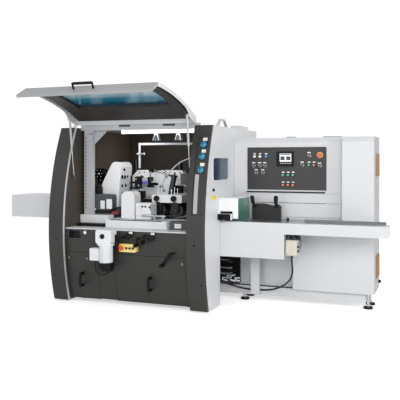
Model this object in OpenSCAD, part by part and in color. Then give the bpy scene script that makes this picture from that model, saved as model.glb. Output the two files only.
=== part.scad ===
// Four sided moulder: a through-feed planing and moulding machine with its hood standing open.
// Millimetres. X runs along the feed, from the outfeed (left) to the infeed (right),
// Y runs from the operator's side to the back, Z is up from the floor.

/* [Enclosure] */
// Length of the machine enclosure along the feed
enclosure_w = 1660; // [1560:10:1760]
// Height of the enclosure
enclosure_h = 1750; // [1700:10:1800]
// Depth of the enclosure, from the foot of the pillars to the rear wall
enclosure_d = 1610; // [1560:10:1700]
// Width of the left front pillar
left_post_w = 165; // [150:5:180]
// Width of the right front pillar
right_post_w = 175; // [165:5:190]
// Radius of the curved front
front_r = 2456; // [2400:10:2600]
// How far the front leans back at the top
front_lean = 123; // [110:1:135]
// Thickness of the curved pillar covers
pillar_t = 30; // [25:1:35]
// Thickness of the end walls, the roof and the rear wall
wall_t = 10; // [8:1:14]
// Depth of the legs at both ends
leg_d = 340; // [330:5:345]
// Gap between the legs and the floor
leg_gap = 12; // [8:1:16]

/* [Hood] */
// Gap between the hood and the pillars
hood_gap = 3; // [2:0.5:4]
// How far the closed hood lies behind the front of the pillars
hood_recess = 30; // [25:1:32]
// Depth of the hood's side walls
hood_depth = 35; // [32:1:38]
// Sheet thickness of the hood
hood_sheet = 3; // [2:0.5:4]
// Height of the fold line of the closed hood
hood_bend_z = 895; // [880:1:910]
// Distance of the hinge axis behind the foot of the pillars
hinge_y = 195; // [190:1:200]
// Height of the hinge axis over the enclosure
hinge_rise = 52; // [48:1:56]
// Angle between the closed and the open hood
hood_open = 90; // [80:1:92]
// Distance of the hood window from the sides of the hood
window_margin = 187; // [160:1:240]
// Diameter of the gas strut tube
strut_tube_d = 22; // [18:1:24]
// Diameter of the gas strut rod
strut_rod_d = 10; // [8:1:11]

/* [Bed and feed] */
// Height of the table
table_h = 825; // [815:1:835]
// Length of the infeed table
infeed_l = 1574; // [1540:1:1640]
// Length of the outfeed guard
outfeed_l = 790; // [700:10:850]
// Distance of the table's front edge behind the foot of the pillars
table_y = 339; // [330:1:339]
// Diameter of the cutterheads
head_d = 120; // [110:1:124]
// Diameter of the spindle shafts
spindle_d = 40; // [35:1:45]
// Diameter of the feed rollers
roller_d = 136; // [120:2:138]
// Diameter of the columns that guide the feed beam
column_d = 60; // [50:1:65]
// Height of the base over the floor
base_gap = 60; // [50:5:70]

/* [Cabinet] */
// Length of the electrical cabinet
cabinet_w = 1418; // [1380:2:1450]
// Height of the top of the cabinet
cabinet_h = 1645; // [1600:5:1700]
// Sheet thickness of the cabinet
cabinet_sheet = 4; // [3:0.5:5]
// Depth of the cabinet
cabinet_d = 362; // [340:2:400]
// Diameter of the stop buttons
stop_d = 40; // [35:1:44]
// Travel of the buttons
button_travel = 5; // [3:0.5:6]

/* [Hidden] */
$fn = 48;
// Clearance of parts that turn or slide in a bore
run_fit = 0.05;
// Clearance of curved faces that lie against each other
lie_gap = 0.5;

// Curved front: centre of the arc through the foot and the top of the pillars
chord = norm([front_lean, enclosure_h]);
arc_run = sqrt(front_r * front_r - chord * chord / 4);
arc_y = front_lean / 2 + arc_run * enclosure_h / chord;
arc_z = enclosure_h / 2 - arc_run * front_lean / chord;
function front_at(z, depth) = arc_y - sqrt(pow(front_r - depth, 2) - pow(z - arc_z, 2));

// Inner faces of the two posts, and the hood between them
post_l = left_post_w;
post_r = enclosure_w - right_post_w;
hood_x0 = post_l + hood_gap;
hood_x1 = post_r - hood_gap;
hinge_z = enclosure_h + hinge_rise;
// Lower front: sill, panel and doors
sill_z = 745;
sill_t = 10;
panel_recess = 55;
panel_sheet = 8;
door_top = 502;
door_bottom = 40;
door_gap = 3;
column_x0 = 517;
column_x1 = 698;
// Base deck and bed
deck_z = 706;
deck_t = 16;
plate_t = 25;
bed_rear = 880;
path_y0 = 400;
fence_y = 640;
// Table and cabinet
infeed_x = enclosure_w + 2;
table_end = enclosure_w + infeed_l;
cabinet_x1 = infeed_x + cabinet_w;
cabinet_y = 788;
cabinet_front = 681;
cabinet_z = 143;
cabinet_rear = cabinet_y + cabinet_d;
tall_x = cabinet_x1 - 298;
low_x = infeed_x + 638;
panel_k = (cabinet_h - table_h) / 820;
panel_o = [infeed_x + 142, table_h + 293 * panel_k];
spigot_l = 60;

// Hood lip in the closed position: from the fold to its tip
lip_tip = [5, sill_z + 7];
lip_fold = [front_at(hood_bend_z, hood_recess), hood_bend_z];
lip_l = norm(lip_tip - lip_fold);
lip_dir = (lip_tip - lip_fold) / lip_l;
lip_in = [-lip_dir[1], lip_dir[0]];
function opened(p) = [
    hinge_y + (p[0] - hinge_y) * cos(hood_open) + (p[1] - hinge_z) * sin(hood_open),
    hinge_z - (p[0] - hinge_y) * sin(hood_open) + (p[1] - hinge_z) * cos(hood_open)
];
// Gas struts: foot stud on the posts, head stud on the hood
strut_foot = [hinge_y - 135, hinge_z - 547];
strut_head_shut = [hinge_y - 35, hinge_z - 215];
strut_head = opened(strut_head_shut);
strut_l = norm(strut_head - strut_foot);
strut_shut_l = norm(strut_head_shut - strut_foot);
strut_tilt = atan2(strut_foot[0] - strut_head[0], strut_head[1] - strut_foot[1]);
strut_inset = 25;
strut_eye_t = 12;

// Cutter and roller axes
bottom_axis = [post_r - 115, table_h + 2 - head_d / 2];
near_axis = [post_l + 535, path_y0 - head_d / 2 - 2];
fence_axis = [post_l + 695, fence_y + head_d / 2];
top_axis = [post_l + 265, table_h + 35 + head_d / 2];
roller_z = table_h + 12 + roller_d / 2;
rollers_x = [post_r - 335, post_r - 525];

// The origin lies at the middle of the whole machine, on the floor
centre_x = (table_end - outfeed_l) / 2;
centre_y = (enclosure_d + spigot_l + opened(lip_tip)[0]) / 2;

module placed() translate([-centre_x, -centre_y, 0]) children();
// Extrudes a side view (Y, Z) along X, and a front view (X, Z) along Y
module along_x(x0, x1) translate([x0, 0, 0]) rotate([90, 0, 90]) linear_extrude(x1 - x0) children();
module along_y(y0, y1) translate([0, y1, 0]) rotate([90, 0, 0]) linear_extrude(y1 - y0) children();
module block(x0, x1, y0, y1, z0, z1) translate([x0, y0, z0]) cube([x1 - x0, y1 - y0, z1 - z0]);
module rod_x(x0, x1, y, z, r) translate([x0, y, z]) rotate([0, 90, 0]) cylinder(r = r, h = x1 - x0);
module rod_y(x, y0, y1, z, r) translate([x, y1, z]) rotate([90, 0, 0]) cylinder(r = r, h = y1 - y0);
module rod_z(x, y, z0, z1, r) translate([x, y, z0]) cylinder(r = r, h = z1 - z0);
module view_box(a0, a1, z0, z1) translate([a0, z0]) square([a1 - a0, z1 - z0]);
module rounded_box(a0, a1, z0, z1, r) {
    difference() {
        view_box(a0, a1, z0, z1);
        for (a = [0, 1], b = [0, 1])
            translate([a ? a1 : a0, b ? z1 : z0]) rotate(a ? (b ? 180 : 90) : (b ? 270 : 0)) difference() {
                square(r);
                translate([r, r]) circle(r = r);
            }
    }
}
// Everything behind the curved front, and a sheet that follows it
module behind_front(depth) translate([arc_y, arc_z]) circle(r = front_r - depth, $fn = 720);
module front_sheet(depth, thickness, z0, z1) {
    intersection() {
        difference() {
            behind_front(depth);
            behind_front(depth + thickness);
        }
        view_box(-400, arc_y, z0, z1);
    }
}
// Stands a piece on the curved front at height z, with its -Y axis pointing out
module on_front(x, z, depth) {
    slope = asin((z - arc_z) / (front_r - depth));
    translate([x, arc_y, arc_z]) rotate([-slope, 0, 0]) translate([0, -(front_r - depth), 0]) children();
}
// Turns the closed hood up to its open position
module hood_up() translate([0, hinge_y, hinge_z]) rotate([-hood_open, 0, 0])
    translate([0, -hinge_y, -hinge_z]) children();

// Welded box under the bed: floor, side plates that follow the curved front, back, deck and a partition
base_t = 15;
base_y = 60;
base_rear = 1400;
partition_x = 560;
module base_frame() color("#3a3a38") placed() difference() {
    union() {
        for (x = [post_l, post_r - base_t])
            along_x(x, x + base_t) intersection() {
                behind_front(panel_recess + panel_sheet + lie_gap);
                view_box(-400, base_rear, base_gap, deck_z - deck_t);
            }
        block(post_l + base_t, post_r - base_t, base_y, base_rear, base_gap, base_gap + base_t);
        block(post_l + base_t, post_r - base_t, base_rear - base_t, base_rear, base_gap + base_t,
            deck_z - deck_t);
        block(post_l, post_r, base_y, base_rear, deck_z - deck_t, deck_z);
        block(partition_x, partition_x + base_t, base_y, base_rear - base_t, base_gap + base_t,
            deck_z - deck_t);
    }
    block(bottom_axis[0] - 70, bottom_axis[0] + 70, lying_pulley[0] - 5, lying_pulley[1] + 15,
        deck_z - deck_t - 1, deck_z + 1);
    for (p = [near_axis, fence_axis])
        rod_z(p[0], p[1], deck_z - deck_t - 1, deck_z + 1, housing_r + 2);
}

foot_r = 45;
foot_t = 18;
stud_r = 12;
cabinet_base_z = 56;
module foot(x, y, top) {
    rod_z(x, y, 0, foot_t, foot_r);
    rod_z(x, y, foot_t, top, stud_r);
}
module levelling_feet() color("#1c1c1c") placed() {
    for (x = [post_l + 75, post_r - 75], y = [220, base_rear - 100])
        foot(x, y, base_gap);
    for (y = [cabinet_y - 48, cabinet_y + 142]) {
        foot(infeed_x + 130, y, cabinet_base_z);
        foot(cabinet_x1 - 62, y, cabinet_z);
    }
}

// Curved dark covers on the front of both posts; the right one has a long recess for the gauges
recess_x = [enclosure_w - 125, enclosure_w - 22];
recess_z = [table_h + 80, enclosure_h - 118];
recess_d = 12;
module pillars() color("#3d3d3b") placed() {
    along_x(0, post_l) front_sheet(0, pillar_t, leg_gap, enclosure_h);
    difference() {
        along_x(post_r, enclosure_w) front_sheet(0, pillar_t, leg_gap, enclosure_h);
        along_x(recess_x[0], recess_x[1]) front_sheet(-5, recess_d + 5, recess_z[0], recess_z[1]);
    }
}

// End walls: an outer plate with a leg, an inner plate and a web that close the post behind the pillar
wall_edge_z = 485;
passage_y = [table_y + 21, 900];
passage_z = [deck_z, table_h + 225];
web_top = enclosure_h - 600;
module wall_plate(x) along_x(x, x + wall_t) difference() {
    intersection() {
        behind_front(pillar_t + lie_gap);
        view_box(-400, enclosure_d, leg_gap, enclosure_h);
    }
    view_box(leg_d, enclosure_d + 1, 0, wall_edge_z);
    view_box(passage_y[0], passage_y[1], passage_z[0], passage_z[1]);
}
module inner_plate(x) along_x(x, x + wall_t) difference() {
    intersection() {
        behind_front(pillar_t + lie_gap);
        view_box(-400, leg_d, leg_gap, enclosure_h);
    }
    view_box(roof_y, leg_d + 1, enclosure_h - wall_t, enclosure_h + 1);
}
// Stud that carries the foot of a gas strut, and the lug behind it
module strut_stud(x_wall, x_end) {
    rod_x(min(x_wall, x_end), max(x_wall, x_end), strut_foot[0], strut_foot[1], 6);
    rod_x(x_wall < x_end ? x_wall : x_wall - 5, x_wall < x_end ? x_wall + 5 : x_wall,
        strut_foot[0], strut_foot[1], 20);
}
module left_end_wall() color("#d9dadc") placed() {
    wall_plate(0);
    inner_plate(post_l - wall_t);
    block(wall_t, post_l - wall_t, leg_d - wall_t, leg_d, leg_gap, web_top);
    strut_stud(post_l, post_l + strut_inset + strut_eye_t);
}
window_y = [140, 600];
upper_wall = enclosure_h - passage_z[1];
window_z = [passage_z[1] + 0.25 * upper_wall, passage_z[1] + 0.553 * upper_wall];
window_r = 32;
lock_r = 14;
module right_end_wall() color("#d9dadc") placed() {
    difference() {
        wall_plate(enclosure_w - wall_t);
        along_x(enclosure_w - wall_t - 1, enclosure_w + 1)
            rounded_box(window_y[0], window_y[1], window_z[0], window_z[1], window_r);
    }
    inner_plate(post_r);
    block(post_r + wall_t, enclosure_w - wall_t, leg_d - wall_t, leg_d, leg_gap, web_top);
    strut_stud(post_r, post_r - strut_inset - strut_eye_t);
    // Raised frame round the window, and a key lock below it
    along_x(enclosure_w, enclosure_w + 6) difference() {
        rounded_box(window_y[0] - 16, window_y[1] + 16, window_z[0] - 16, window_z[1] + 16, window_r + 16);
        rounded_box(window_y[0], window_y[1], window_z[0], window_z[1], window_r);
    }
    rod_x(enclosure_w, enclosure_w + lock_r, window_y[0], window_z[0] - 90, lock_r);
}
module end_window() color("#1d3f5c") placed() {
    along_x(enclosure_w - wall_t - 6, enclosure_w - wall_t)
        rounded_box(window_y[0] - 15, window_y[1] + 15, window_z[0] - 15, window_z[1] + 15, window_r + 15);
}

// Roof and rear wall with the extraction spigots of the four cutters
roof_y = hinge_y + 77;
spigot_d = 125;
spigots_x = [for (i = [0 : 3]) post_l + 135 + i * (post_r - post_l - 300) / 3];
spigot_z = enclosure_h - 270;
module roof_and_back() color("#d9dadc") placed() {
    block(wall_t, enclosure_w - wall_t, roof_y, enclosure_d - wall_t, enclosure_h - wall_t, enclosure_h);
    block(enclosure_w - 100, enclosure_w - wall_t, 960, 1300, enclosure_h, enclosure_h + 36);
    rod_y(enclosure_w - 60, 935, 960, enclosure_h + 18, 11);
    difference() {
        union() {
            block(wall_t, enclosure_w - wall_t, enclosure_d - wall_t, enclosure_d, wall_edge_z, enclosure_h);
            for (x = spigots_x)
                rod_y(x, enclosure_d, enclosure_d + spigot_l, spigot_z, spigot_d / 2);
        }
        for (x = spigots_x)
            rod_y(x, enclosure_d - wall_t - 1, enclosure_d + spigot_l + 1, spigot_z, spigot_d / 2 - 3);
    }
}
// Foam panels on the rear wall and on the inside of both end walls
foam_t = 30;
foam_z = [passage_z[1] + 10, enclosure_h - wall_t];
module acoustic_lining() color("#2e2824") placed() {
    difference() {
        block(wall_t, enclosure_w - wall_t, enclosure_d - wall_t - foam_t, enclosure_d - wall_t, deck_z + 130,
            foam_z[1]);
        for (x = spigots_x)
            rod_y(x, enclosure_d - wall_t - foam_t - 1, enclosure_d, spigot_z, spigot_d / 2 - 3);
    }
    for (x = [wall_t, enclosure_w - wall_t - foam_t])
        block(x, x + foam_t, window_y[1] + 60, enclosure_d - wall_t - foam_t, foam_z[0], foam_z[1]);
}
// Lifting bows on both end walls
bow_y = [300, 620];
bow_h = 75;
module lifting_eyes() color("#9a9c9e") placed() {
    for (x = [wall_t, enclosure_w - wall_t - 20])
        along_x(x, x + 20) translate([0, enclosure_h]) difference() {
            polygon([[bow_y[0], 0], [bow_y[0] + 95, bow_h], [bow_y[1] - 95, bow_h], [bow_y[1], 0]]);
            polygon([[bow_y[0] + 45, -1], [bow_y[0] + 110, bow_h - 18], [bow_y[1] - 110, bow_h - 18],
                [bow_y[1] - 45, -1]]);
        }
}
// White inner frame: the beam that carries the hinges, a post on the outfeed side and a tube for hoses
beam_y = [hinge_y + 37, roof_y];
beam_z = [enclosure_h - 28, enclosure_h + 30];
hinges_x = [post_l + 125, (post_l + post_r) / 2 + 5, post_r - 115];
hinge_w = 110;
pin_r = 7;
post_x = [post_l + 40, post_l + 135];
post_t = 5;
slot_pitch = 36;
tube_x = post_l + 547;
tube_y = 500;
tube_z = enclosure_h - 165;
tube_r = 12;
module inner_frame() color("#e4e5e6") placed() {
    difference() {
        union() {
            block(post_l, post_r, beam_y[0], beam_y[1], beam_z[0], beam_z[1]);
            for (x = hinges_x, s = [-1, 1])
                translate([x + s * (hinge_w / 2 - 12), 0, 0]) rotate([90, 0, 90])
                    linear_extrude(24, center = true) union() {
                        translate([hinge_y, hinge_z]) circle(r = 14);
                        polygon([[hinge_y, hinge_z + 14], [hinge_y, hinge_z - 8], [beam_y[0] + 4, beam_z[1]],
                            [beam_y[1], beam_z[1]]]);
                    }
        }
        for (x = hinges_x)
            rod_x(x - hinge_w, x + hinge_w, hinge_y, hinge_z, pin_r + run_fit);
    }
    difference() {
        block(post_x[0], post_x[1], beam_y[0] + 2, beam_y[1] + 14, rail_top, beam_z[0]);
        block(post_x[0] + post_t, post_x[1] - post_t, beam_y[0] + 2 + post_t, beam_y[1] + 15, rail_top - 1,
            beam_z[0] + 1);
        for (z = [rail_top + 60 : slot_pitch : beam_z[0] - 60])
            block(post_x[0] + 10, post_x[0] + 22, beam_y[0], beam_y[0] + 3 + post_t, z, z + slot_pitch / 2);
        for (x = [post_x[1] - 38, post_x[1] - 14])
            rod_y(x, beam_y[0], beam_y[0] + 3 + post_t, beam_z[0] - 35, 8);
    }
    along_y(beam_y[1] + 14, beam_y[1] + 18)
        polygon([[post_x[0], tube_z], [post_x[1], tube_z], [post_x[1] + 150, beam_z[0]],
            [post_x[0], beam_z[0]]]);
    rod_x(tube_x, enclosure_w - wall_t, tube_y, tube_z, tube_r);
    rod_z(tube_x, tube_y, tube_z - 250, tube_z + tube_r, tube_r);
    rod_y(tube_x, tube_y - 40, tube_y, tube_z - 100, 9);
}
// Lamp tube with its end holders, and two bowl lamps
lamp_r = 17;
lamp_x = [post_l + 495, post_r - 85];
module work_light() color("#f4f6f6") placed() {
    rod_x(lamp_x[0], lamp_x[1], (beam_y[0] + beam_y[1]) / 2, beam_z[0] - 19, lamp_r);
    for (x = [lamp_x[0] - 20, lamp_x[1]])
        block(x, x + 20, beam_y[0] + 2, beam_y[1] - 2, beam_z[0] - 38, beam_z[0]);
    for (x = [post_r - 485, post_r - 245])
        translate([x, 300, 0]) rotate_extrude()
            polygon([[0, tube_z + 62], [30, tube_z + 30], [46, tube_z + 30], [30, tube_z + 80],
                [12, enclosure_h - wall_t], [0, enclosure_h - wall_t]]);
}

// Lower front: a light sill, and a dark curved panel with a tray and a column between the doors
tray_x = [190, 345];
tray_z = [640, 722];
tray_t = 6;
tray_back = front_at((tray_z[0] + tray_z[1]) / 2, panel_recess) + 91;
// Pieces on the panel are drawn for a panel face at this place and move with it
drawn_face = -49.4;
module on_face() translate([0, front_at((door_top + sill_z) / 2, panel_recess) - drawn_face, 0]) children();
module seat_on_panel() difference() {
    on_face() children();
    along_x(0, enclosure_w) behind_front(panel_recess - lie_gap);
}
module sill() color("#e2e3e4") placed() along_x(post_l, post_r) intersection() {
    behind_front(panel_recess - 5);
    view_box(-400, 118, sill_z - sill_t, sill_z);
}
module front_panel() color("#3d3d3b") placed() difference() {
    union() {
        along_x(post_l, post_r) front_sheet(panel_recess, panel_sheet, door_top + door_gap, sill_z - sill_t);
        along_x(column_x0, column_x1)
            front_sheet(panel_recess, panel_sheet, door_bottom, door_top + door_gap);
        along_x(tray_x[0] - tray_t, tray_x[1] + tray_t) intersection() {
            behind_front(panel_recess + panel_sheet / 2);
            view_box(-400, tray_back, tray_z[0] - tray_t, tray_z[1] + tray_t);
        }
    }
    block(tray_x[0], tray_x[1], -400, tray_back - tray_t, tray_z[0], tray_z[1]);
}
// Feed gearmotor on the front panel, its motor hanging down
motor_x = 676;
motor_y = -150;
motor_r = 66;
neck_r = 42;
cowl_r = 74;
motor_z = [441, 604];
module gearmotor() color("#d3d7db") placed() {
    seat_on_panel() rod_y(motor_x, -95, 0, 692, neck_r);
    on_face() {
        along_y(-205, -95) rounded_box(motor_x - 84, motor_x + 84, 622, 752, 22);
        rod_y(motor_x - 10, -212, -205, 692, 24);
        rod_z(motor_x, motor_y, motor_z[1], 622, motor_r + 16);
        difference() {
            rod_z(motor_x, motor_y, motor_z[0], motor_z[1], motor_r);
            for (a = [0 : 15 : 345])
                translate([motor_x, motor_y, motor_z[0] + 12]) rotate(a) translate([motor_r - 8, -2.5, 0])
                    cube([12, 5, 130]);
        }
        difference() {
            translate([motor_x, motor_y, 0]) rotate_extrude()
                polygon([[0, 352], [46, 352], [66, 362], [cowl_r, 384], [cowl_r, motor_z[0]],
                    [0, motor_z[0]]]);
            for (z = [392 : 14 : 420])
                translate([motor_x, motor_y, z]) difference() {
                    cylinder(r = cowl_r + 1, h = 6);
                    translate([0, 0, -1]) cylinder(r = cowl_r - 4, h = 8);
                }
        }
        along_y(-185, -112) rounded_box(motor_x - 160, motor_x - 60, 455, 572, 10);
    }
}
station_y = -102;
station_p = [820, 578];
stem_r = 10;
module button_station() color("#f3c14a") placed() {
    difference() {
        union() {
            seat_on_panel() along_y(station_y, 0)
                rounded_box(station_p[0] - 32, station_p[0] + 148, station_p[1] - 38, station_p[1] + 37, 10);
            on_face() rod_y(station_p[0], station_y - 8, station_y, station_p[1], 24);
        }
        on_face() rod_y(station_p[0], station_y - 9, station_y + button_travel + 3, station_p[1],
            stem_r + run_fit);
    }
    on_face() for (i = [0 : 2])
        rod_y(station_p[0] + 50 + 35 * i, station_y - 8, station_y, station_p[1], 11);
}
module station_stop() color("#d8342a") placed() on_face() {
    rod_y(station_p[0], station_y - 33, station_y - 18, station_p[1], stop_d / 2 - 3);
    rod_y(station_p[0], station_y - 18, station_y + 2, station_p[1], stem_r);
}
// Counters, star knobs and cranks of the adjusting spindles
module hand_controls() color("#232323") placed() {
    for (p = [[886, 691], [1121, 682]])
        seat_on_panel() {
            rod_y(p[0], -78, 0, p[1], 10);
            for (a = [0 : 72 : 288])
                rod_y(p[0] + 18 * cos(a), -100, -78, p[1] + 18 * sin(a), 9);
            rod_y(p[0], -100, -78, p[1], 20);
        }
    for (x = [903, 1134])
        seat_on_panel() block(x - 20, x + 20, -78, 0, 712, 733);
    for (p = [[981, 672], [1050, 701]])
        seat_on_panel() {
            rod_y(p[0], -108, 0, p[1], 9);
            along_y(-108, -98) view_box(p[0] - 9, p[0] + 9, p[1] - 62, p[1]);
            rod_y(p[0], -150, -98, p[1] - 62, 9);
        }
    seat_on_panel() rod_y(395, -70, 0, 705, 17);
    seat_on_panel() rod_y(crank_p[0], crank_y, 0, crank_p[1], 9);
    on_face() along_y(-140, -126)
        polygon([[768, 700], [780, 712], [850, 692], [842, 674], [790, 681], [784, 575], [768, 575]]);
    seat_on_panel() rod_y(836, -140, 0, 682, 8);
}
crank_p = [post_r - 150, 545];
crank_y = -138;
module hand_crank() color("#1e1e1e") placed() on_face() {
    difference() {
        union() {
            rod_y(crank_p[0], crank_y, -118, crank_p[1], 18);
            translate([crank_p[0], 0, crank_p[1]]) rotate([0, -55, 0])
                along_y(crank_y, crank_y + 12) view_box(-140, 0, -13, 13);
        }
        rod_y(crank_p[0], crank_y - 1, 0, crank_p[1], 9 + run_fit);
    }
    translate([crank_p[0], 0, crank_p[1]]) rotate([0, -55, 0]) rod_y(-126, crank_y - 60, crank_y, 0, 13);
}

// Bed casting: slab, front beam with a slanted end, and the outfeed rail
rail_top = table_h + 30;
rail_x = [post_l + 5, post_l + 335];
housing_r = 62;
slot_x = [bottom_axis[0] - 75, bottom_axis[0] + 75];
beam_x = [post_l + 355, post_r - 300];
module bed() color("#d5d8db") placed() difference() {
    union() {
        block(post_l + base_t, post_r - base_t, 360, bed_rear, deck_z, table_h - plate_t);
        translate([0, 0, deck_z]) linear_extrude(table_h - 5 - deck_z)
            polygon([[beam_x[0], 120], [beam_x[1], 120], [beam_x[1] + 85, 360], [beam_x[0], 360]]);
        block(rail_x[0], rail_x[1], 235, 330, deck_z, rail_top - 80);
        block(rail_x[0], rail_x[1], 215, 330, rail_top - 80, rail_top);
    }
    block(slot_x[0], slot_x[1], 386, bed_rear + 1, deck_z - 1, table_h);
    for (p = [near_axis, fence_axis])
        rod_z(p[0], p[1], deck_z - 1, table_h, housing_r + 2);
}
module bed_plates() color("#8f9499") placed() difference() {
    block(0, enclosure_w, 362, bed_rear, table_h - plate_t, table_h);
    block(slot_x[0] + 5, slot_x[1] - 5, 386, bed_rear + 1, table_h - plate_t - 1, table_h + 1);
    for (p = [near_axis, fence_axis])
        rod_z(p[0], p[1], table_h - plate_t - 1, table_h + 1, housing_r + 2);
}
fence_h = 34;
fence_x = [[12, fence_axis[0] - 80], [fence_axis[0] + 80, enclosure_w - 20]];
module fence() color("#9aa0a4") placed() for (x = fence_x)
    block(x[0], x[1], fence_y, fence_y + 40, table_h, table_h + fence_h);
columns_x = [post_l + 165, post_l + 355, post_r - 445];
column_y = 805;
module guide_columns() color("#b9bdc1") placed() for (x = columns_x)
    rod_z(x, column_y, table_h, table_h + 595, column_d / 2);

// Bearing housings of the three fixed spindles
housing_z = [640, table_h + 1];
module spindle_housings() color("#c9ccd0") placed() {
    for (p = [near_axis, fence_axis])
        difference() {
            union() {
                rod_z(p[0], p[1], housing_z[0], housing_z[1], housing_r);
                rod_z(p[0], p[1], deck_z - deck_t - 14, deck_z - deck_t, housing_r + 24);
            }
            rod_z(p[0], p[1], housing_z[0] - 1, housing_z[1] + 1, spindle_d / 2 + run_fit);
        }
    difference() {
        union() {
            rod_y(bottom_axis[0], 665, 870, bottom_axis[1], 56);
            block(bottom_axis[0] - 60, bottom_axis[0] + 60, 680, 860, deck_z, bottom_axis[1]);
        }
        rod_y(bottom_axis[0], 660, 880, bottom_axis[1], spindle_d / 2 + run_fit);
    }
}
// Cutterhead with four gullets and four knives, its axis along Z
module cutterhead(h) {
    difference() {
        cylinder(r = head_d / 2 - 3, h = h);
        for (a = [0 : 90 : 270])
            rotate(a) translate([head_d / 2 - 17, -14, -1]) cube([20, 14, h + 2]);
    }
    for (a = [0 : 90 : 270])
        rotate(a) translate([head_d / 2 - 22, 0, 2]) cube([21, 4, h - 4]);
}
pulley_z = [570, 620];
pulley_r = 45;
module standing_spindle(p) translate([p[0], p[1], 0]) {
    rod_z(0, 0, pulley_z[0] - 10, table_h + 105, spindle_d / 2);
    translate([0, 0, table_h + 7]) cutterhead(93);
    rod_z(0, 0, table_h + 100, table_h + 120, 32);
    rod_z(0, 0, pulley_z[0], pulley_z[1], pulley_r);
}
module near_spindle() color("#aab0b6") placed() standing_spindle(near_axis);
module fence_spindle() color("#aab0b6") placed() standing_spindle(fence_axis);
head_y = [412, 628];
module lying_spindle(p, y_end) {
    translate([p[0], head_y[0], p[1]]) rotate([-90, 0, 0]) cutterhead(head_y[1] - head_y[0]);
    rod_y(p[0], head_y[0] - 10, head_y[0], p[1], 30);
    rod_y(p[0], head_y[0], y_end, p[1], spindle_d / 2);
}
lying_pulley = [905, 945];
module bottom_spindle() color("#aab0b6") placed() {
    lying_spindle(bottom_axis, 955);
    rod_y(bottom_axis[0], lying_pulley[0], lying_pulley[1], bottom_axis[1], pulley_r);
}
module top_spindle() color("#aab0b6") placed() lying_spindle(top_axis, 757);
// Flat belt round two pulleys a distance apart, drawn in plan
belt_t = 4;
belt_gap = 0.3;
module belt_loop(l) difference() {
    belt_disc(l, pulley_r + belt_gap + belt_t);
    belt_disc(l, pulley_r + belt_gap);
}
module belt_disc(l, r) {
    circle(r = r);
    translate([0, l]) circle(r = r);
    translate([-r, 0]) square([2 * r, l]);
}
// Spindle motors in the base, with their belts
drive_l = 300;
drop_l = 437;
drive_r = 90;
module spindle_drives() color("#4a5560") placed() {
    for (p = [near_axis, fence_axis]) {
        rod_z(p[0], p[1] + drive_l, base_gap + base_t, 540, drive_r);
        rod_z(p[0], p[1] + drive_l, 540, pulley_z[1], pulley_r);
        translate([p[0], p[1], pulley_z[0] + 5]) linear_extrude(40) belt_loop(drive_l);
    }
    drop_z = bottom_axis[1] - drop_l;
    rod_y(bottom_axis[0], 560, 900, drop_z, drive_r + 10);
    rod_y(bottom_axis[0], 900, lying_pulley[1], drop_z, pulley_r);
    block(bottom_axis[0] - 80, bottom_axis[0] + 80, 600, 860, base_gap + base_t, drop_z - 60);
    along_y(lying_pulley[0] + 3, lying_pulley[1] - 3) translate([bottom_axis[0], drop_z]) belt_loop(drop_l);
}

// Chip hood of the near cutter, with a rounded top and open to the work, and the side pressure unit
chip_sheet = 5;
near_w = 148;
near_h = 275;
module near_outline(inset) intersection() {
    rounded_box(inset - near_w / 2, near_w / 2 - inset, -90, near_h - inset, 55 - inset);
    view_box(-near_w, near_w, inset > 0 ? -1 : 0, near_h);
}
module chip_hoods() color("#e6e7e8") placed() {
    difference() {
        along_y(255, path_y0 - 2) translate([near_axis[0], table_h]) near_outline(0);
        along_y(255 + chip_sheet, path_y0 - 1) translate([near_axis[0], table_h]) near_outline(chip_sheet);
    }
    translate([near_axis[0], 0, table_h]) {
        along_y(250, 380) rounded_box(92, 262, 0, 160, 12);
        along_x(100, 150) polygon([[250, 25], [232, 37], [232, 115], [250, 130]]);
    }
}
cover_x = [post_l + 105, post_l + 335];
cover_z = [table_h + 90, table_h + 240];
wheel_p = [345, table_h + 175];
wheel_l = 34;
// Dark covers: the motor on the outfeed rail, and the control box at the end of the front beam
module motor_cover() color("#4b4e52") placed() {
    along_y(300, 390) rounded_box(cover_x[0], cover_x[1], cover_z[0], cover_z[1], 28);
    block(cover_x[0] + 30, cover_x[1] - 30, 300, 328, rail_top, cover_z[0]);
    rod_x(cover_x[0] - wheel_l, cover_x[0], wheel_p[0], wheel_p[1], 8);
    along_y(122, 200) rounded_box(post_r - 265, post_r - 90, deck_z, table_h, 6);
}
module hand_wheel() color("#202020") placed()
    translate([cover_x[0] - wheel_l, wheel_p[0], wheel_p[1]]) rotate([0, 90, 0]) {
    difference() {
        union() {
            cylinder(r = 16, h = 26);
            translate([0, 0, 13]) rotate_extrude() translate([42, 0]) circle(r = 7);
            for (a = [0, 120, 240])
                rotate(a) translate([10, -5, 9]) cube([31, 10, 8]);
        }
        translate([0, 0, -1]) cylinder(r = 8 + run_fit, h = 30);
    }
}
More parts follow.
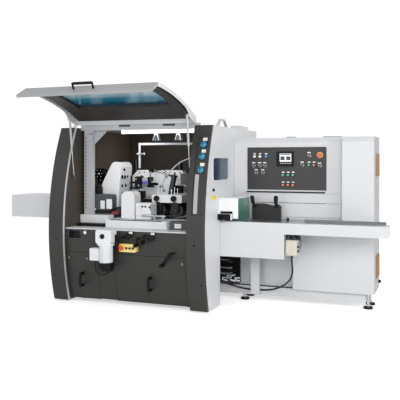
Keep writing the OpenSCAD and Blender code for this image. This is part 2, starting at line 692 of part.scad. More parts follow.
// Feed beam on its columns, with the gearbox, yokes and air cylinder of the feed rollers
yoke_y = [[425, 455], [600, 630]];
roller_y = [462, 594];
shaft_r = 15;
box_z = [roller_z + roller_d / 2 + 10, table_h + 240];
module feed_carriers() color("#e3e5e7") placed() difference() {
    union() {
        translate([0, 0, table_h]) along_y(column_y - 45, column_y + 45)
            polygon([[columns_x[1] - 90, 175], [columns_x[2] + 90, 175], [columns_x[2] + 90, 425],
                [columns_x[2] + 40, 485], [columns_x[1] + 40, 485], [columns_x[1] - 90, 355]]);
        along_y(425, 630) rounded_box(rollers_x[1] - 70, rollers_x[0] + 70, box_z[0], box_z[1], 14);
        block(rollers_x[1], rollers_x[0] + 10, 630, 760, box_z[1] - 60, box_z[1] - 5);
        for (x = rollers_x, y = yoke_y)
            along_y(y[0], y[1]) {
                view_box(x - 32, x + 32, roller_z, box_z[0] + 20);
                translate([x, roller_z]) circle(r = 32);
            }
        for (x = rollers_x)
            rod_y(x - 15, 405, 425, box_z[1] - 40, 30);
        translate([columns_x[2], 560, box_z[1] - 5]) rotate([0, 12, 0]) {
            cylinder(r = 28, h = 190);
            translate([0, 0, 190]) cylinder(r = 33, h = 16);
            translate([0, 0, 206]) cylinder(r = 9, h = 24);
        }
    }
    for (x = [columns_x[1], columns_x[2]])
        rod_z(x, column_y, table_h + 165, table_h + 495, column_d / 2 + run_fit);
    for (x = rollers_x)
        rod_y(x, 420, 640, roller_z, shaft_r + run_fit);
}
// Serrated feed roller on its shaft
module feed_roller(x) translate([x, 0, 0]) {
    rod_y(0, 416, 634, roller_z, shaft_r);
    difference() {
        rod_y(0, roller_y[0], roller_y[1], roller_z, roller_d / 2);
        for (a = [0 : 15 : 345])
            translate([0, 0, roller_z]) rotate([0, a, 0])
                block(roller_d / 2 - 4, roller_d / 2 + 1, roller_y[0] - 1, roller_y[1] + 1, -3, 3);
    }
}
module infeed_roller() color("#8d9297") placed() feed_roller(rollers_x[0]);
module middle_roller() color("#8d9297") placed() feed_roller(rollers_x[1]);
// Top spindle unit: fin shaped chip hood that ends in a round elbow, bearing housing and the slide
// on its column
slide_w = 48;
elbow_p = [55, 420];
elbow_r = 60;
module fin_outline(inset) {
    polygon([[-90 + inset, inset > 0 ? 9 : 10], [-130 + inset, 140], [-100 + inset, 260],
        elbow_p + (elbow_r - inset) * [-0.83, 0.55], elbow_p + [elbow_r - inset, 0],
        [85 - inset, inset > 0 ? 9 : 10]]);
    translate(elbow_p) circle(r = elbow_r - inset);
}
module top_head() color("#e6e7e8") placed() difference() {
    union() {
        difference() {
            along_y(393, 650) translate(top_axis) fin_outline(0);
            along_y(393 + chip_sheet, 650 - chip_sheet) translate(top_axis) fin_outline(chip_sheet);
        }
        rod_y(top_axis[0], 640, 755, top_axis[1], 55);
        block(columns_x[0] - slide_w, columns_x[0] + slide_w, column_y - slide_w, column_y + slide_w,
            top_axis[1] - 40, top_axis[1] + 80);
        block(columns_x[0], top_axis[0], 700, column_y - slide_w, top_axis[1] - 30, top_axis[1] + 40);
    }
    rod_y(top_axis[0], 630, 770, top_axis[1], spindle_d / 2 + run_fit);
    rod_z(columns_x[0], column_y, top_axis[1] - 50, top_axis[1] + 90, column_d / 2 + run_fit);
}

// Feed tables: infeed table with its rear rail and support, outfeed table
rail_y = [table_y + 181, table_y + 201];
apron_low = table_h - 105;
module feed_tables() color("#9ba0a4") placed() {
    block(infeed_x, cabinet_x1 - 40, table_y + 10, cabinet_front - 1, table_h - 20, table_h);
    block(cabinet_x1 - 40, table_end - 6, table_y + 10, rail_y[1], table_h - 20, table_h);
    block(infeed_x, tall_x - 2, cabinet_front - 1, cabinet_y - 20, table_h - 20, table_h);
    block(low_x + 150, table_end - 30, rail_y[0], rail_y[1], table_h, table_h + 24);
    block(infeed_x + 218, infeed_x + 302, 646, 690, 75, table_h - 20);
    block(infeed_x + 238, infeed_x + 283, 690, plinth_y[0], 75, 98);
    block(4 - outfeed_l, 0, table_y + 14, 796, table_h - 22, table_h - 2);
}
module infeed_apron() color("#d6d8da") placed() {
    difference() {
        block(infeed_x, table_end, table_y, table_y + 10, wall_edge_z, table_h - 3);
        block(low_x - 4, table_end + 1, table_y - 1, table_y + 11, wall_edge_z - 1, apron_low);
    }
    block(table_end - 6, table_end, table_y + 10, rail_y[1], apron_low, table_h - 3);
}
// Guard box over the outfeed table, open below and at its end
guard_z = [table_h - 29, table_h + 209];
guard_t = 4;
module outfeed_guard() color("#d6d8da") placed() {
    along_x(-outfeed_l, 0) difference() {
        view_box(table_y + 10, 800, guard_z[0], guard_z[1]);
        view_box(table_y + 10 + guard_t, 800 - guard_t, guard_z[0] - 1, guard_z[1] - guard_t);
    }
}
// Entry guard at the mouth of the machine, with a stop block below it
entry_x1 = infeed_x + 188;
entry_z = [table_h + 30, table_h + 225];
module entry_guard() color("#e9eaea") placed() {
    along_x(infeed_x - 2, entry_x1) difference() {
        view_box(320, 700, entry_z[0], entry_z[1]);
        view_box(320 + guard_t, 701, entry_z[0] - 1, entry_z[1] - guard_t);
    }
    block(infeed_x - 2, infeed_x + 128, 268, 316, table_h + 17, table_h + 75);
    rod_y(infeed_x + 28, 246, 268, table_h + 47, 15);
    block(infeed_x - 2, infeed_x + 10, 300, 320, table_h + 33, table_h + 115);
}
// Strip curtain hanging in the mouth of the entry guard
strip_w = 34;
module entry_curtain() color("#3f9f86") placed() for (i = [0 : 9])
    block(entry_x1 - 3, entry_x1, 326 + i * 37, 326 + i * 37 + strip_w, table_h + 12, entry_z[1] - guard_t);
// Dark bracket on the infeed table and its two clamp levers
lever_x = [infeed_x + 258, infeed_x + 483];
lever_z = table_h + 135;
lever_stud_l = 30;
lever_y = [640, 675];
module lever_bracket() color("#38393b") placed() {
    along_y(lever_y[0], lever_y[1]) translate([lever_x[0], table_h])
        polygon([[-25, 0], [-25, 143], [10, 160], [100, 160], [190, 140], [230, 160], [270, 135], [270, 0]]);
    for (x = lever_x)
        rod_y(x, lever_y[0] - lever_stud_l, lever_y[0], lever_z, 7);
    rod_z(lever_x[1] + 125, 600, table_h, table_h + 30, 14);
}
module clamp_lever(x, lean) translate([x, 0, lever_z]) {
    difference() {
        union() {
            rod_y(0, lever_y[0] - lever_stud_l - 6, lever_y[0] - 1, 0, 15);
            rotate([0, lean, 0]) translate([0, lever_y[0] - 20, 0]) {
                cylinder(r1 = 10, r2 = 16, h = 84);
                translate([0, 0, 84]) sphere(r = 18);
            }
        }
        rod_y(0, lever_y[0] - lever_stud_l - 1, lever_y[0], 0, 7 + run_fit);
    }
}
module left_clamp_lever() color("#161616") placed() clamp_lever(lever_x[0], -12);
module right_clamp_lever() color("#161616") placed() clamp_lever(lever_x[1], 0);

// Junction box under the table with its bracket and gland
box_x = [low_x + 5, low_x + 110];
gland_p = [low_x + 56, 402];
module junction_box() color("#e4dfc6") placed() {
    along_y(365, 440) rounded_box(box_x[0], box_x[1], 519, 664, 10);
    block(box_x[0] - 5, box_x[1] + 30, 396, 404, 664, table_h - 20);
    rod_z(gland_p[0], gland_p[1], 497, 519, 13);
}
// Cable from the junction box, down in a slack bend and along the plinth into the base
cable_r = 8;
cable_points = [
    [696, 402, 497], [696, 402, 470], [697, 406, 435], [698, 416, 400], [695, 432, 365],
    [685, 455, 325], [665, 485, 285], [635, 520, 248], [595, 560, 212], [545, 603, 178],
    [485, 645, 148], [420, 680, 126], [355, 700, 114], [290, 704, 110], [225, 704, 109],
    [160, 704, 112], [95, 703, 120], [35, 700, 134], [-20, 696, 150], [-70, 690, 164], [-115, 684, 174],
    [-145, 680, 180], [-160, 680, 180]
];
cable_route = [for (p = cable_points) p + [enclosure_w, 0, 0]];
cable_sides = 10;
function unit(v) = v / norm(v);
function along(i) = i == 0 ? unit(cable_route[1] - cable_route[0])
    : i == len(cable_route) - 1 ? unit(cable_route[i] - cable_route[i - 1])
    : unit(cable_route[i + 1] - cable_route[i - 1]);
function ring(i) = let (d = along(i), u = unit(cross(d, [0.2, 1, 0.1])), v = cross(d, u))
    [for (k = [0 : cable_sides - 1]) cable_route[i]
        + cable_r * (u * cos(360 * k / cable_sides) + v * sin(360 * k / cable_sides))];
module box_cable() color("#141414") placed() {
    rings = len(cable_route);
    last = (rings - 1) * cable_sides;
    polyhedron(
        points = [for (i = [0 : rings - 1]) each ring(i)],
        faces = concat(
            [[for (k = [0 : cable_sides - 1]) k]],
            [for (i = [0 : rings - 2], k = [0 : cable_sides - 1])
                let (a = i * cable_sides, n = (k + 1) % cable_sides)
                    each [[a + k, a + k + cable_sides, a + n],
                        [a + n, a + k + cable_sides, a + n + cable_sides]]],
            [[for (k = [cable_sides - 1 : -1 : 0]) last + k]]
        )
    );
}
// Conduits from the base to the cabinet, and the gland where the cable enters the base
module hose_bundle() color("#161616") placed() {
    for (p = [[830, 200], [870, 260], [820, 330], [880, 390], [840, 450]])
        rod_x(post_r, infeed_x, p[0], p[1], 19);
    rod_x(post_r, enclosure_w - 160, 680, 180, 13);
}

// Electrical cabinet: tall rear part, forward part on the right, low forward part under the table
bevel = [42, 48];
low_top = 700;
plinth_x = [post_r + 5, cabinet_x1 - 84];
plinth_y = [718, 1130];
plinth_t = 6;
module cabinet_view(y, inset) polygon([
    [y + inset, cabinet_z + inset], [y + inset, cabinet_h - bevel[1] - inset / 2],
    [y + bevel[0] + inset / 2, cabinet_h - inset], [cabinet_rear - inset, cabinet_h - inset],
    [cabinet_rear - inset, cabinet_z + inset]
]);
module cabinet_form(inset) {
    along_x(infeed_x + inset, tall_x + inset) cabinet_view(cabinet_y, inset);
    along_x(tall_x + inset, cabinet_x1 - inset) cabinet_view(cabinet_front, inset);
    block(low_x + inset, tall_x + inset, cabinet_front + inset, cabinet_y + inset, cabinet_z + inset,
        low_top - inset);
}
ledge_z = [panel_o[1] - 29, panel_o[1] - 14];
board_split = table_h + 0.61 * (ledge_z[0] - table_h);
board_z = [[table_h + 25, board_split], [board_split + 5, ledge_z[0]]];
filter_z = [[cabinet_z + 132, cabinet_z + 347], [cabinet_h - 383, cabinet_h - 165]];
module cabinet_shell() color("#d8dadb") placed() {
    difference() {
        cabinet_form(0);
        cabinet_form(cabinet_sheet);
    }
    difference() {
        block(plinth_x[0], plinth_x[1], plinth_y[0], plinth_y[1], cabinet_base_z, cabinet_z);
        block(plinth_x[0] + plinth_t, plinth_x[1] - plinth_t, plinth_y[0] + plinth_t, plinth_y[1] - plinth_t,
            cabinet_base_z + plinth_t, cabinet_z + 1);
    }
    for (z = board_z)
        block(infeed_x + 150, tall_x - 2, cabinet_y - 14, cabinet_y, z[0], z[1]);
    block(infeed_x + 140, tall_x - 2, cabinet_y - 26, cabinet_y, ledge_z[0], ledge_z[1]);
    for (z = filter_z)
        block(cabinet_x1, cabinet_x1 + 12, cabinet_front + 150, cabinet_rear - 90, z[0], z[1]);
    rod_x(cabinet_x1, cabinet_x1 + 22, cabinet_rear - 60, 205, 16);
}

// Control panel with its screen, lamps, selectors and button collars
panel_size = [809, 430 * panel_k];
panel_y = cabinet_y - 6;
function row_z(points) = [for (p = points) [p[0], p[1] * panel_k]];
lamps = row_z([[77, 337], [135, 337], [198, 337]]);
selectors = row_z([[66, 245], [130, 245], [183, 245], [93, 173], [162, 173], [638, 346], [568, 251],
    [742, 242]]);
starts = row_z([[375, 150], [426, 150], [477, 150], [638, 251]]);
stops = row_z([[375, 50], [426, 50], [477, 50], [688, 251]]);
screen_x = [308, 482];
screen_z = [236 * panel_k, 387 * panel_k];
panel_stop_p = [747, 350 * panel_k];
module on_panel() translate([panel_o[0], 0, panel_o[1]]) children();
button_r = 11;
collar_l = 8;
module collar(p, r, bore) difference() {
    rod_y(p[0], panel_y - collar_l, panel_y, p[1], r);
    rod_y(p[0], panel_y - collar_l - 1, panel_y + 1, p[1], bore + run_fit);
}
module control_panel() color("#2f3031") placed() on_panel() {
    block(0, panel_size[0], panel_y, cabinet_y, 0, panel_size[1]);
    along_y(panel_y - 14, panel_y) rounded_box(screen_x[0], screen_x[1], screen_z[0], screen_z[1], 8);
    along_y(panel_y - 15, panel_y - 14)
        view_box(screen_x[0] + 14, screen_x[1] - 14, screen_z[0] + 18, screen_z[1] - 16);
    for (p = lamps)
        rod_y(p[0], panel_y - 13, panel_y, p[1], 14);
    for (p = selectors) {
        rod_y(p[0], panel_y - 10, panel_y, p[1], 16);
        translate([p[0], 0, p[1]]) rotate([0, 35, 0])
            along_y(panel_y - 24, panel_y - 10) view_box(-14, 14, -5, 5);
    }
    for (p = concat(starts, stops))
        collar(p, 16, button_r);
    collar(panel_stop_p, 30, stem_r);
}
module button_group(points) for (p = points)
    rod_y(p[0], panel_y - 16, panel_y - 6, p[1], button_r);
module start_buttons() color("#2fb08a") placed() on_panel() button_group(starts);
module stop_buttons() color("#f06a45") placed() on_panel() button_group(stops);
module panel_stop() color("#d8342a") placed() on_panel() {
    rod_y(panel_stop_p[0], panel_y - 34, panel_y - collar_l - 8, panel_stop_p[1], stop_d / 2);
    rod_y(panel_stop_p[0], panel_y - collar_l - 8, panel_y - button_travel - 2, panel_stop_p[1], stem_r);
}

// Three domed gauges with blank plates and a scale strip in the recess of the right pillar
gauge_x = enclosure_w - 60;
gauges_z = [enclosure_h - 190, enclosure_h - 301, enclosure_h - 427];
gauge_r = 31.5;
dome_r = 41;
module gauges() color("#1c64a8") placed() {
    for (z = gauges_z) {
        on_front(gauge_x, z, recess_d - lie_gap / 2) {
            rod_y(0, -18, 0, 0, gauge_r);
            translate([0, -18, 0]) rotate([90, 0, 0]) rotate_extrude() intersection() {
                translate([0, 12 - dome_r]) circle(r = dome_r);
                square(gauge_r);
            }
        }
        on_front(gauge_x + 8, z + 52, recess_d - lie_gap / 2) block(-22, 22, -4, 0, -16, 16);
    }
    along_x(recess_x[0] + 12, recess_x[0] + 50) front_sheet(recess_d - 4, 4 - lie_gap / 2,
        recess_z[0] + 20, gauges_z[2] - 38);
}

// Lift-off doors that follow the curved front, each with a rolled lower edge on which it tips,
// a pull handle and two latches
roll_r = 5;
grip_leg_r = 10;
module door(x0, x1, handle_x, latches) {
    rod_x(x0, x1, front_at(door_bottom, panel_recess), door_bottom, roll_r);
    along_x(x0, x1) front_sheet(panel_recess, panel_sheet, door_bottom, door_top);
    difference() {
        for (z = [183, 287])
            rod_y(handle_x, -66, 40, z, grip_leg_r);
        along_x(x0, x1) behind_front(panel_recess + 3);
    }
    rod_z(handle_x, -66, 172, 298, grip_leg_r + 2);
    for (x = latches)
        on_front(x, door_top - 54, panel_recess) rod_y(0, -12, 2, 0, 13);
}
module left_door() color("#3d3d3b") placed()
    door(post_l + door_gap, column_x0 - door_gap, (post_l + column_x0) / 2, [204, 407]);
module right_door() color("#3d3d3b") placed()
    door(column_x1 + door_gap, post_r - door_gap, column_x1 + 386, [column_x1 + 50, post_r - 62]);

// Hood, drawn closed and turned up: curved skin with a folded lip, end plates, hinge flange and studs
hood_top = enclosure_h + 14;
hood_top_y = front_at(hood_top, hood_recess);
flange_y = hinge_y + 27;
lip_return = 25;
window_shift = 30;
pane_x = [hood_x0 + window_margin + window_shift, hood_x1 - window_margin + window_shift];
hood_span = hinge_z - hood_bend_z;
pane_z = [hood_bend_z + 0.0717 * hood_span, hood_bend_z + 0.6196 * hood_span];
pane_lap = 20;
plate_z = [hinge_z - 322, hinge_z - 162];
module hood_end() {
    front_sheet(hood_recess, hood_depth, hood_bend_z, hood_top);
    polygon([lip_fold, lip_tip, lip_tip + lip_return * lip_in,
        [front_at(hood_bend_z, hood_recess + hood_depth), hood_bend_z]]);
    polygon([[front_at(plate_z[0], 50), plate_z[0]], strut_head_shut + [-16, -14], strut_head_shut + [18, 0],
        [flange_y, hinge_z - 67], [flange_y, hood_top + 14], [hood_top_y + 2, hood_top],
        [front_at(plate_z[1], 34), plate_z[1]]]);
}
module hood_shell() color("#dcdcdc") placed() hood_up() {
    difference() {
        along_x(hood_x0, hood_x1) front_sheet(hood_recess, hood_sheet, hood_bend_z, hood_top);
        block(pane_x[0], pane_x[1], -400, 400, pane_z[0], pane_z[1]);
    }
    along_x(hood_x0, hood_x1) {
        polygon([lip_fold, lip_tip, lip_tip + hood_sheet * lip_in, lip_fold + hood_sheet * [1, 0.6]]);
        polygon([lip_tip, lip_tip + lip_return * lip_in, lip_tip + lip_return * lip_in - hood_sheet * lip_dir,
            lip_tip - hood_sheet * lip_dir]);
        polygon([[hood_top_y, hood_top - 4], [hood_top_y, hood_top], [flange_y, hood_top + 16],
            [flange_y, hood_top + 12]]);
    }
    for (x = [hood_x0, hood_x1 - hood_sheet])
        along_x(x, x + hood_sheet) hood_end();
    for (x = hinges_x) {
        along_x(x - 29, x + 29) {
            translate([hinge_y, hinge_z]) circle(r = 13);
            polygon([[hinge_y - 13, hinge_z], [hinge_y - 13, hood_top + 4], [hinge_y + 4, hood_top + 9],
                [hinge_y + 11, hinge_z]]);
        }
        rod_x(x - hinge_w / 2 - 4, x + hinge_w / 2 + 4, hinge_y, hinge_z, pin_r);
    }
    stud_l = strut_inset - strut_eye_t / 2 - lie_gap - hood_gap;
    rod_x(hood_x0, hood_x0 + stud_l, strut_head_shut[0], strut_head_shut[1], 6);
    rod_x(hood_x1 - stud_l, hood_x1, strut_head_shut[0], strut_head_shut[1], 6);
}
lining_depth = hood_recess + hood_sheet + lie_gap;
module hood_lining() color("#2b2521") placed() hood_up() difference() {
    along_x(hood_x0 + 40, hood_x1 - 40) front_sheet(lining_depth, hood_depth - hood_sheet - 5,
        hood_bend_z + 25, hood_top - 30);
    block(pane_x[0] - pane_lap - 2, pane_x[1] + pane_lap + 2, -400, 400, pane_z[0] - pane_lap - 2,
        pane_z[1] + pane_lap + 2);
}
module hood_window() color("#2a7a99") placed() hood_up()
    along_x(pane_x[0] - pane_lap, pane_x[1] + pane_lap)
        front_sheet(lining_depth, 5, pane_z[0] - pane_lap, pane_z[1] + pane_lap);
grip_x = [(hood_x0 + hood_x1) / 2 - 110, (hood_x0 + hood_x1) / 2 + 85];
grip_h = 52;
grip_r = 9;
module hood_handle() color("#161616") placed() hood_up() {
    middle = (lip_fold + lip_tip) / 2;
    translate([0, middle[0], middle[1]]) rotate([atan2(lip_in[0], -lip_in[1]), 0, 0]) {
        for (x = grip_x)
            rod_z(x, 0, 0, grip_h, grip_r);
        rod_x(grip_x[0], grip_x[1], 0, grip_h, grip_r);
        for (x = grip_x)
            translate([x, 0, grip_h]) sphere(r = grip_r);
    }
}

// Gas struts: a rod on each foot stud, and the tube that slides on it up to the hood
struts_x = [post_l + strut_inset, post_r - strut_inset];
strut_tube_l = strut_shut_l - 56;
module on_strut() for (x = struts_x)
    translate([x, strut_foot[0], strut_foot[1]]) rotate([strut_tilt, 0, 0]) children();
module strut_rods() color("#c4c8cc") placed() on_strut() {
    difference() {
        rod_x(-strut_eye_t / 2, strut_eye_t / 2, 0, 0, 13);
        rod_x(-strut_eye_t, strut_eye_t, 0, 0, 6 + run_fit);
    }
    rod_z(0, 0, 12, strut_shut_l - 28, strut_rod_d / 2);
}
module strut_tubes() color("#262626") placed() on_strut() {
    difference() {
        rod_z(0, 0, strut_l - strut_tube_l, strut_l - 8, strut_tube_d / 2);
        rod_z(0, 0, strut_l - strut_tube_l - 1, strut_l - 22, strut_rod_d / 2 + run_fit);
    }
    rod_x(-strut_eye_t / 2, strut_eye_t / 2, 0, strut_l, 11);
}

base_frame();
levelling_feet();
pillars();
left_end_wall();
right_end_wall();
roof_and_back();
acoustic_lining();
sill();
front_panel();
bed();
bed_plates();
fence();
inner_frame();
work_light();
guide_columns();
spindle_housings();
spindle_drives();
chip_hoods();
motor_cover();
cabinet_shell();
control_panel();
feed_tables();
infeed_apron();
outfeed_guard();
entry_guard();
entry_curtain();
lever_bracket();
junction_box();
box_cable();
hose_bundle();
gauges();
end_window();
lifting_eyes();
gearmotor();
button_station();
hand_controls();
hood_shell();
hood_lining();
hood_window();
hood_handle();
strut_rods();
strut_tubes();
left_door();
right_door();
bottom_spindle();
fence_spindle();
near_spindle();
top_spindle();
infeed_roller();
middle_roller();
feed_carriers();
top_head();
left_clamp_lever();
right_clamp_lever();
hand_wheel();
hand_crank();
panel_stop();
station_stop();
start_buttons();
stop_buttons();
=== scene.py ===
# %% [markdown]
# # A four sided moulder, dressed for the studio
# The machine planes and shapes all four sides of a board in one pass. Its solids come from the
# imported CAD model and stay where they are. This lesson gives every solid its real finish, adds the
# small pieces that make such a machine look used and serviceable, and lights it like a catalogue
# picture on a white ground.

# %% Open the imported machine
import math

import bmesh
import bpy
import numpy as np
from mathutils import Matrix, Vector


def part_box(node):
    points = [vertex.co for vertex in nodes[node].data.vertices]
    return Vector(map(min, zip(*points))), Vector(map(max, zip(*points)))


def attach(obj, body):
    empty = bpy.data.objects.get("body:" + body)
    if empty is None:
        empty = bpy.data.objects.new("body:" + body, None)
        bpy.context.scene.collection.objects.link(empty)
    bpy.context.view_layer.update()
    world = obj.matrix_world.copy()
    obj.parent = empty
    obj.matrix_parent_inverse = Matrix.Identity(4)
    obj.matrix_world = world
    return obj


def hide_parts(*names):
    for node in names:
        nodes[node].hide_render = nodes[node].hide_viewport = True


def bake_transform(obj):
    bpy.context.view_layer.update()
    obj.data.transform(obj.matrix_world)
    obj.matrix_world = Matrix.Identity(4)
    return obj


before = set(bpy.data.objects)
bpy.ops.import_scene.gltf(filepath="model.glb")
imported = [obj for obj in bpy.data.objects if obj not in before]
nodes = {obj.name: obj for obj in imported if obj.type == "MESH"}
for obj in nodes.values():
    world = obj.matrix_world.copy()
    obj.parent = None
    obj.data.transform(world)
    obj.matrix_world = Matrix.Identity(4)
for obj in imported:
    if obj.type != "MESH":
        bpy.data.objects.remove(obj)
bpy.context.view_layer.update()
scene = bpy.context.scene

# %% [markdown]
# ## Places in millimetres
# The machine is measured as its fitter would do it: X from the left end of the enclosure, Y from the
# foot of the pillars, Z from the floor, all in millimetres. One function turns such places into the
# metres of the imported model, whose origin lies at the middle of the machine.

# %% Shared measures
MM = 0.001
REAR_WALL_Y = 1600.0
END_FITTINGS = 14.0
FILTER_FRAMES = 22.0
left_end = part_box("left_end_wall")[0].x / MM
rear_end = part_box("acoustic_lining")[1].y / MM
ORIGIN = np.array([-left_end, REAR_WALL_Y - rear_end, 0.0])


def row(points):
    """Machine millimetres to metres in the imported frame: subtract the origin, then scale."""
    return (np.asarray(points, float) - ORIGIN) * MM


def machine(points):
    """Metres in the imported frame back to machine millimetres: unscale, then add the origin."""
    return np.asarray(points, float) / MM + ORIGIN


ENCLOSURE_W = machine(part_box("right_end_wall")[1])[0] - END_FITTINGS
TABLE_Z = machine(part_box("bed_plates")[1])[2]
CABINET_X1 = machine(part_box("cabinet_shell")[1])[0] - FILTER_FRAMES
print("origin:", ORIGIN, "enclosure:", round(ENCLOSURE_W), "table:", round(TABLE_Z))
print("cabinet end:", round(CABINET_X1))

# %% [markdown]
# ## Camera
# The photograph looks at the machine from the right, at about the height of a standing person's
# chest, with a normal lens held level. The picture's middle lies below the horizon, so the lens is
# shifted down a little and the machine's uprights stay upright.

# %% Camera
VIEW_AZIMUTH = math.radians(21.1)
LENS_MM = 58.4
FILM_MM = 36.0
SHIFT_DOWN = -0.0975
FAR_CLIP = 100.0
CAMERA_PLACE = (3751.0, -5620.0, 1409.0)


def new_object(name, data):
    """An object for a mesh, a lamp or a camera, linked into the scene at the origin."""
    obj = bpy.data.objects.new(name, data)
    scene.collection.objects.link(obj)
    return obj


camera_data = bpy.data.cameras.new("camera")
camera_data.lens = LENS_MM
camera_data.sensor_width = FILM_MM
camera_data.shift_y = SHIFT_DOWN
camera_data.clip_end = FAR_CLIP
camera = new_object("camera", camera_data)
camera.location = row(CAMERA_PLACE)
camera.rotation_euler = (math.pi / 2, 0.0, VIEW_AZIMUTH)
scene.camera = camera
scene.view_settings.view_transform = "Standard"
print("camera at", [round(v, 3) for v in camera.location])

# %% [markdown]
# ## Helpers for materials
# Colours are written as the sRGB hex values that a paint chart gives, and one function makes them
# linear. One more function adds a node with its settings and links, so a material reads as a list
# of what happens to the light.

# %% Colour and node helpers
SHADER = "Principled BSDF"


def linear(hex_code):
    """sRGB hex to linear RGBA: each channel goes through the sRGB curve backwards."""
    channels = np.array([int(hex_code[i:i + 2], 16) for i in (1, 3, 5)]) / 255.0
    bent = np.where(channels <= 0.04045, channels / 12.92, ((channels + 0.055) / 1.055) ** 2.4)
    return (*bent.tolist(), 1.0)


def add(tree, kind, inputs=None, out=0, to=None, **settings):
    """Adds one node: settings are its properties, inputs are values or sockets to link from.

    Its output of that name or number is handed back, and goes to an input of the shader if one is named.
    """
    node = tree.nodes.new("ShaderNode" + kind)
    for name, value in settings.items():
        setattr(node, name, value)
    for name, value in (inputs or {}).items():
        if isinstance(value, bpy.types.NodeSocket):
            tree.links.new(value, node.inputs[name])
        else:
            node.inputs[name].default_value = value
    if to:
        tree.links.new(node.outputs[out], tree.nodes[SHADER].inputs[to])
    return node.outputs[out]


def new_material(name, even):
    """A material with inputs of its shader that are even all over, its nodes and its Object coordinates."""
    material = bpy.data.materials.new(name)
    material.use_nodes = True
    tree = material.node_tree
    for socket, value in even.items():
        tree.nodes[SHADER].inputs[socket].default_value = value
    return material, tree, add(tree, "TexCoord", out="Object")


print("grey of 50 % in sRGB, made linear:", round(linear("#808080")[0], 3))

# %% [markdown]
# ## Powder coat and other paints
# Sheet metal machines are powder coated: the powder melts into a tough skin with a fine orange peel.
# The eye sees a satin gloss that wavers over a few millimetres and a tone that drifts a little over
# a whole panel. Both come from noise in real millimetres; the peel is drawn coarser than life, so
# that it still shows in a picture of a four metre machine.


# %% Powder coat
def powder_coat(name, tone, shade, roughness=0.45, peel_mm=7.0, peel_depth=0.25, drift_mm=420.0):
    """Two close tones mixed by slow noise, a roughness that wavers, and a fine bump for the peel."""
    material, tree, place = new_material(name, {"Specular IOR Level": 0.3})
    drift = add(tree, "TexNoise", {"Vector": place, "Scale": 1 / (drift_mm * MM), "Detail": 3.0})
    peel = add(tree, "TexNoise", {"Vector": place, "Scale": 1 / (peel_mm * MM), "Detail": 2.0})
    add(tree, "Mix", {0: drift, 6: linear(shade), 7: linear(tone)}, 2, "Base Color", data_type="RGBA")
    add(tree, "MapRange", {"Value": peel, "From Min": 0.3, "From Max": 0.7, "To Min": roughness - 0.06,
                           "To Max": roughness + 0.08}, to="Roughness")
    add(tree, "Bump", {"Height": peel, "Strength": peel_depth, "Distance": 0.4 * MM}, to="Normal")
    return material


# Sheet metal: satin, from nearly black on the front to a pale grey that takes every soft shadow.
dark_coat = powder_coat("powder_coat_dark_grey", "#3b3b38", "#30302e")
black_coat = powder_coat("powder_coat_black", "#1d1d1c", "#151515", roughness=0.4)
# Side grey: the real colour of the vents and of the strip under the gauges, and painted shade on the
# cabinet's end.
side_grey_and_painted_shade_coat = powder_coat("powder_coat_side_grey_and_painted_shade", "#b4b6b8", "#a6a8aa")
# Hood lip grey: painted shade, the hood's own coat drawn darker on the open lip.
lip_painted_shade_coat = powder_coat("powder_coat_hood_lip_painted_shade", "#a9aaac", "#9d9ea0")
light_coat = powder_coat("powder_coat_light_grey", "#dcdddf", "#d3d5d8", roughness=0.38)
# Mid grey: the real colour of the strut tubes, display keys and air hose, and painted shade on the white
# inner frame.
mid_grey_and_painted_shade_coat = powder_coat("powder_coat_mid_grey_and_painted_shade", "#c4c6c9", "#b9bcbf", roughness=0.4)
# Enamel: smooth and bright on covers, thick and wavy over rough castings.
white_coat = powder_coat("machine_enamel_white", "#f5f6f7", "#ecedef", roughness=0.3, peel_mm=10.0)
cast_coat = powder_coat("enamel_on_casting", "#eef0f1", "#e2e5e7", roughness=0.36, peel_mm=14.0,
                        peel_depth=0.5)
motor_coat = powder_coat("motor_enamel_slate", "#4d565f", "#434b54", roughness=0.4)
cover_coat = powder_coat("cover_enamel_graphite", "#55585b", "#494c4f", roughness=0.36)
# A grained plastic box has the same broken gloss as the coat, so the same function makes it.
cream_plastic = powder_coat("moulded_abs_cream", "#dcdacd", "#cfccbd", roughness=0.45, peel_mm=5.0)
print("paints:", len(bpy.data.materials))

# %% [markdown]
# ## Bare metals
# Tables are ground lengthways, which leaves fine straight scratches along the feed. Shafts are
# turned, so their marks run round. Stretching the noise along one axis gives the direction of the
# tool, and metal shows it mostly in how it spreads reflections.


# %% Ground, turned and plated metal
def bare_metal(name, tone, shade, roughness, grain_mm):
    """Metal whose grain is noise with its own width along each axis, given in millimetres."""
    material, tree, place = new_material(name, {"Metallic": 1.0})
    scale = tuple(1 / (width * MM) for width in grain_mm)
    stretch = add(tree, "Mapping", {"Vector": place, "Scale": scale})
    grain = add(tree, "TexNoise", {"Vector": stretch, "Scale": 1.0, "Detail": 4.0})
    add(tree, "Mix", {0: grain, 6: linear(shade), 7: linear(tone)}, 2, "Base Color", data_type="RGBA")
    add(tree, "MapRange", {"Value": grain, "From Min": 0.3, "From Max": 0.7, "To Min": roughness - 0.08,
                           "To Max": roughness + 0.1}, to="Roughness")
    add(tree, "Bump", {"Height": grain, "Strength": 0.2, "Distance": 0.2 * MM}, to="Normal")
    return material


# Long scratches make a table shine in streaks; even grain makes plate and blackened steel calm.
ground_steel = bare_metal("ground_steel", "#c3c6c8", "#9fa3a6", 0.3, (160.0, 4.0, 4.0))
turned_steel = bare_metal("turned_steel", "#c9ccd0", "#a4a8ac", 0.27, (30.0, 30.0, 5.0))
chrome_plate = bare_metal("chrome_plate", "#e2e4e6", "#d2d5d8", 0.14, (40.0, 40.0, 40.0))
rail_steel = bare_metal("ground_rail_steel", "#7a7c7e", "#606264", 0.4, (160.0, 4.0, 4.0))
dark_steel = bare_metal("blackened_steel", "#4a4b4d", "#333436", 0.4, (12.0, 12.0, 12.0))
print("paints and metals:", len(bpy.data.materials))

# %% [markdown]
# ## Plastics and rubber
# Knobs, handles, lenses and cables are moulded: one colour right through, with a satin skin from the
# mould and slightly lighter worn patches. Printed film and fleece get the same treatment with larger
# or smaller patches.


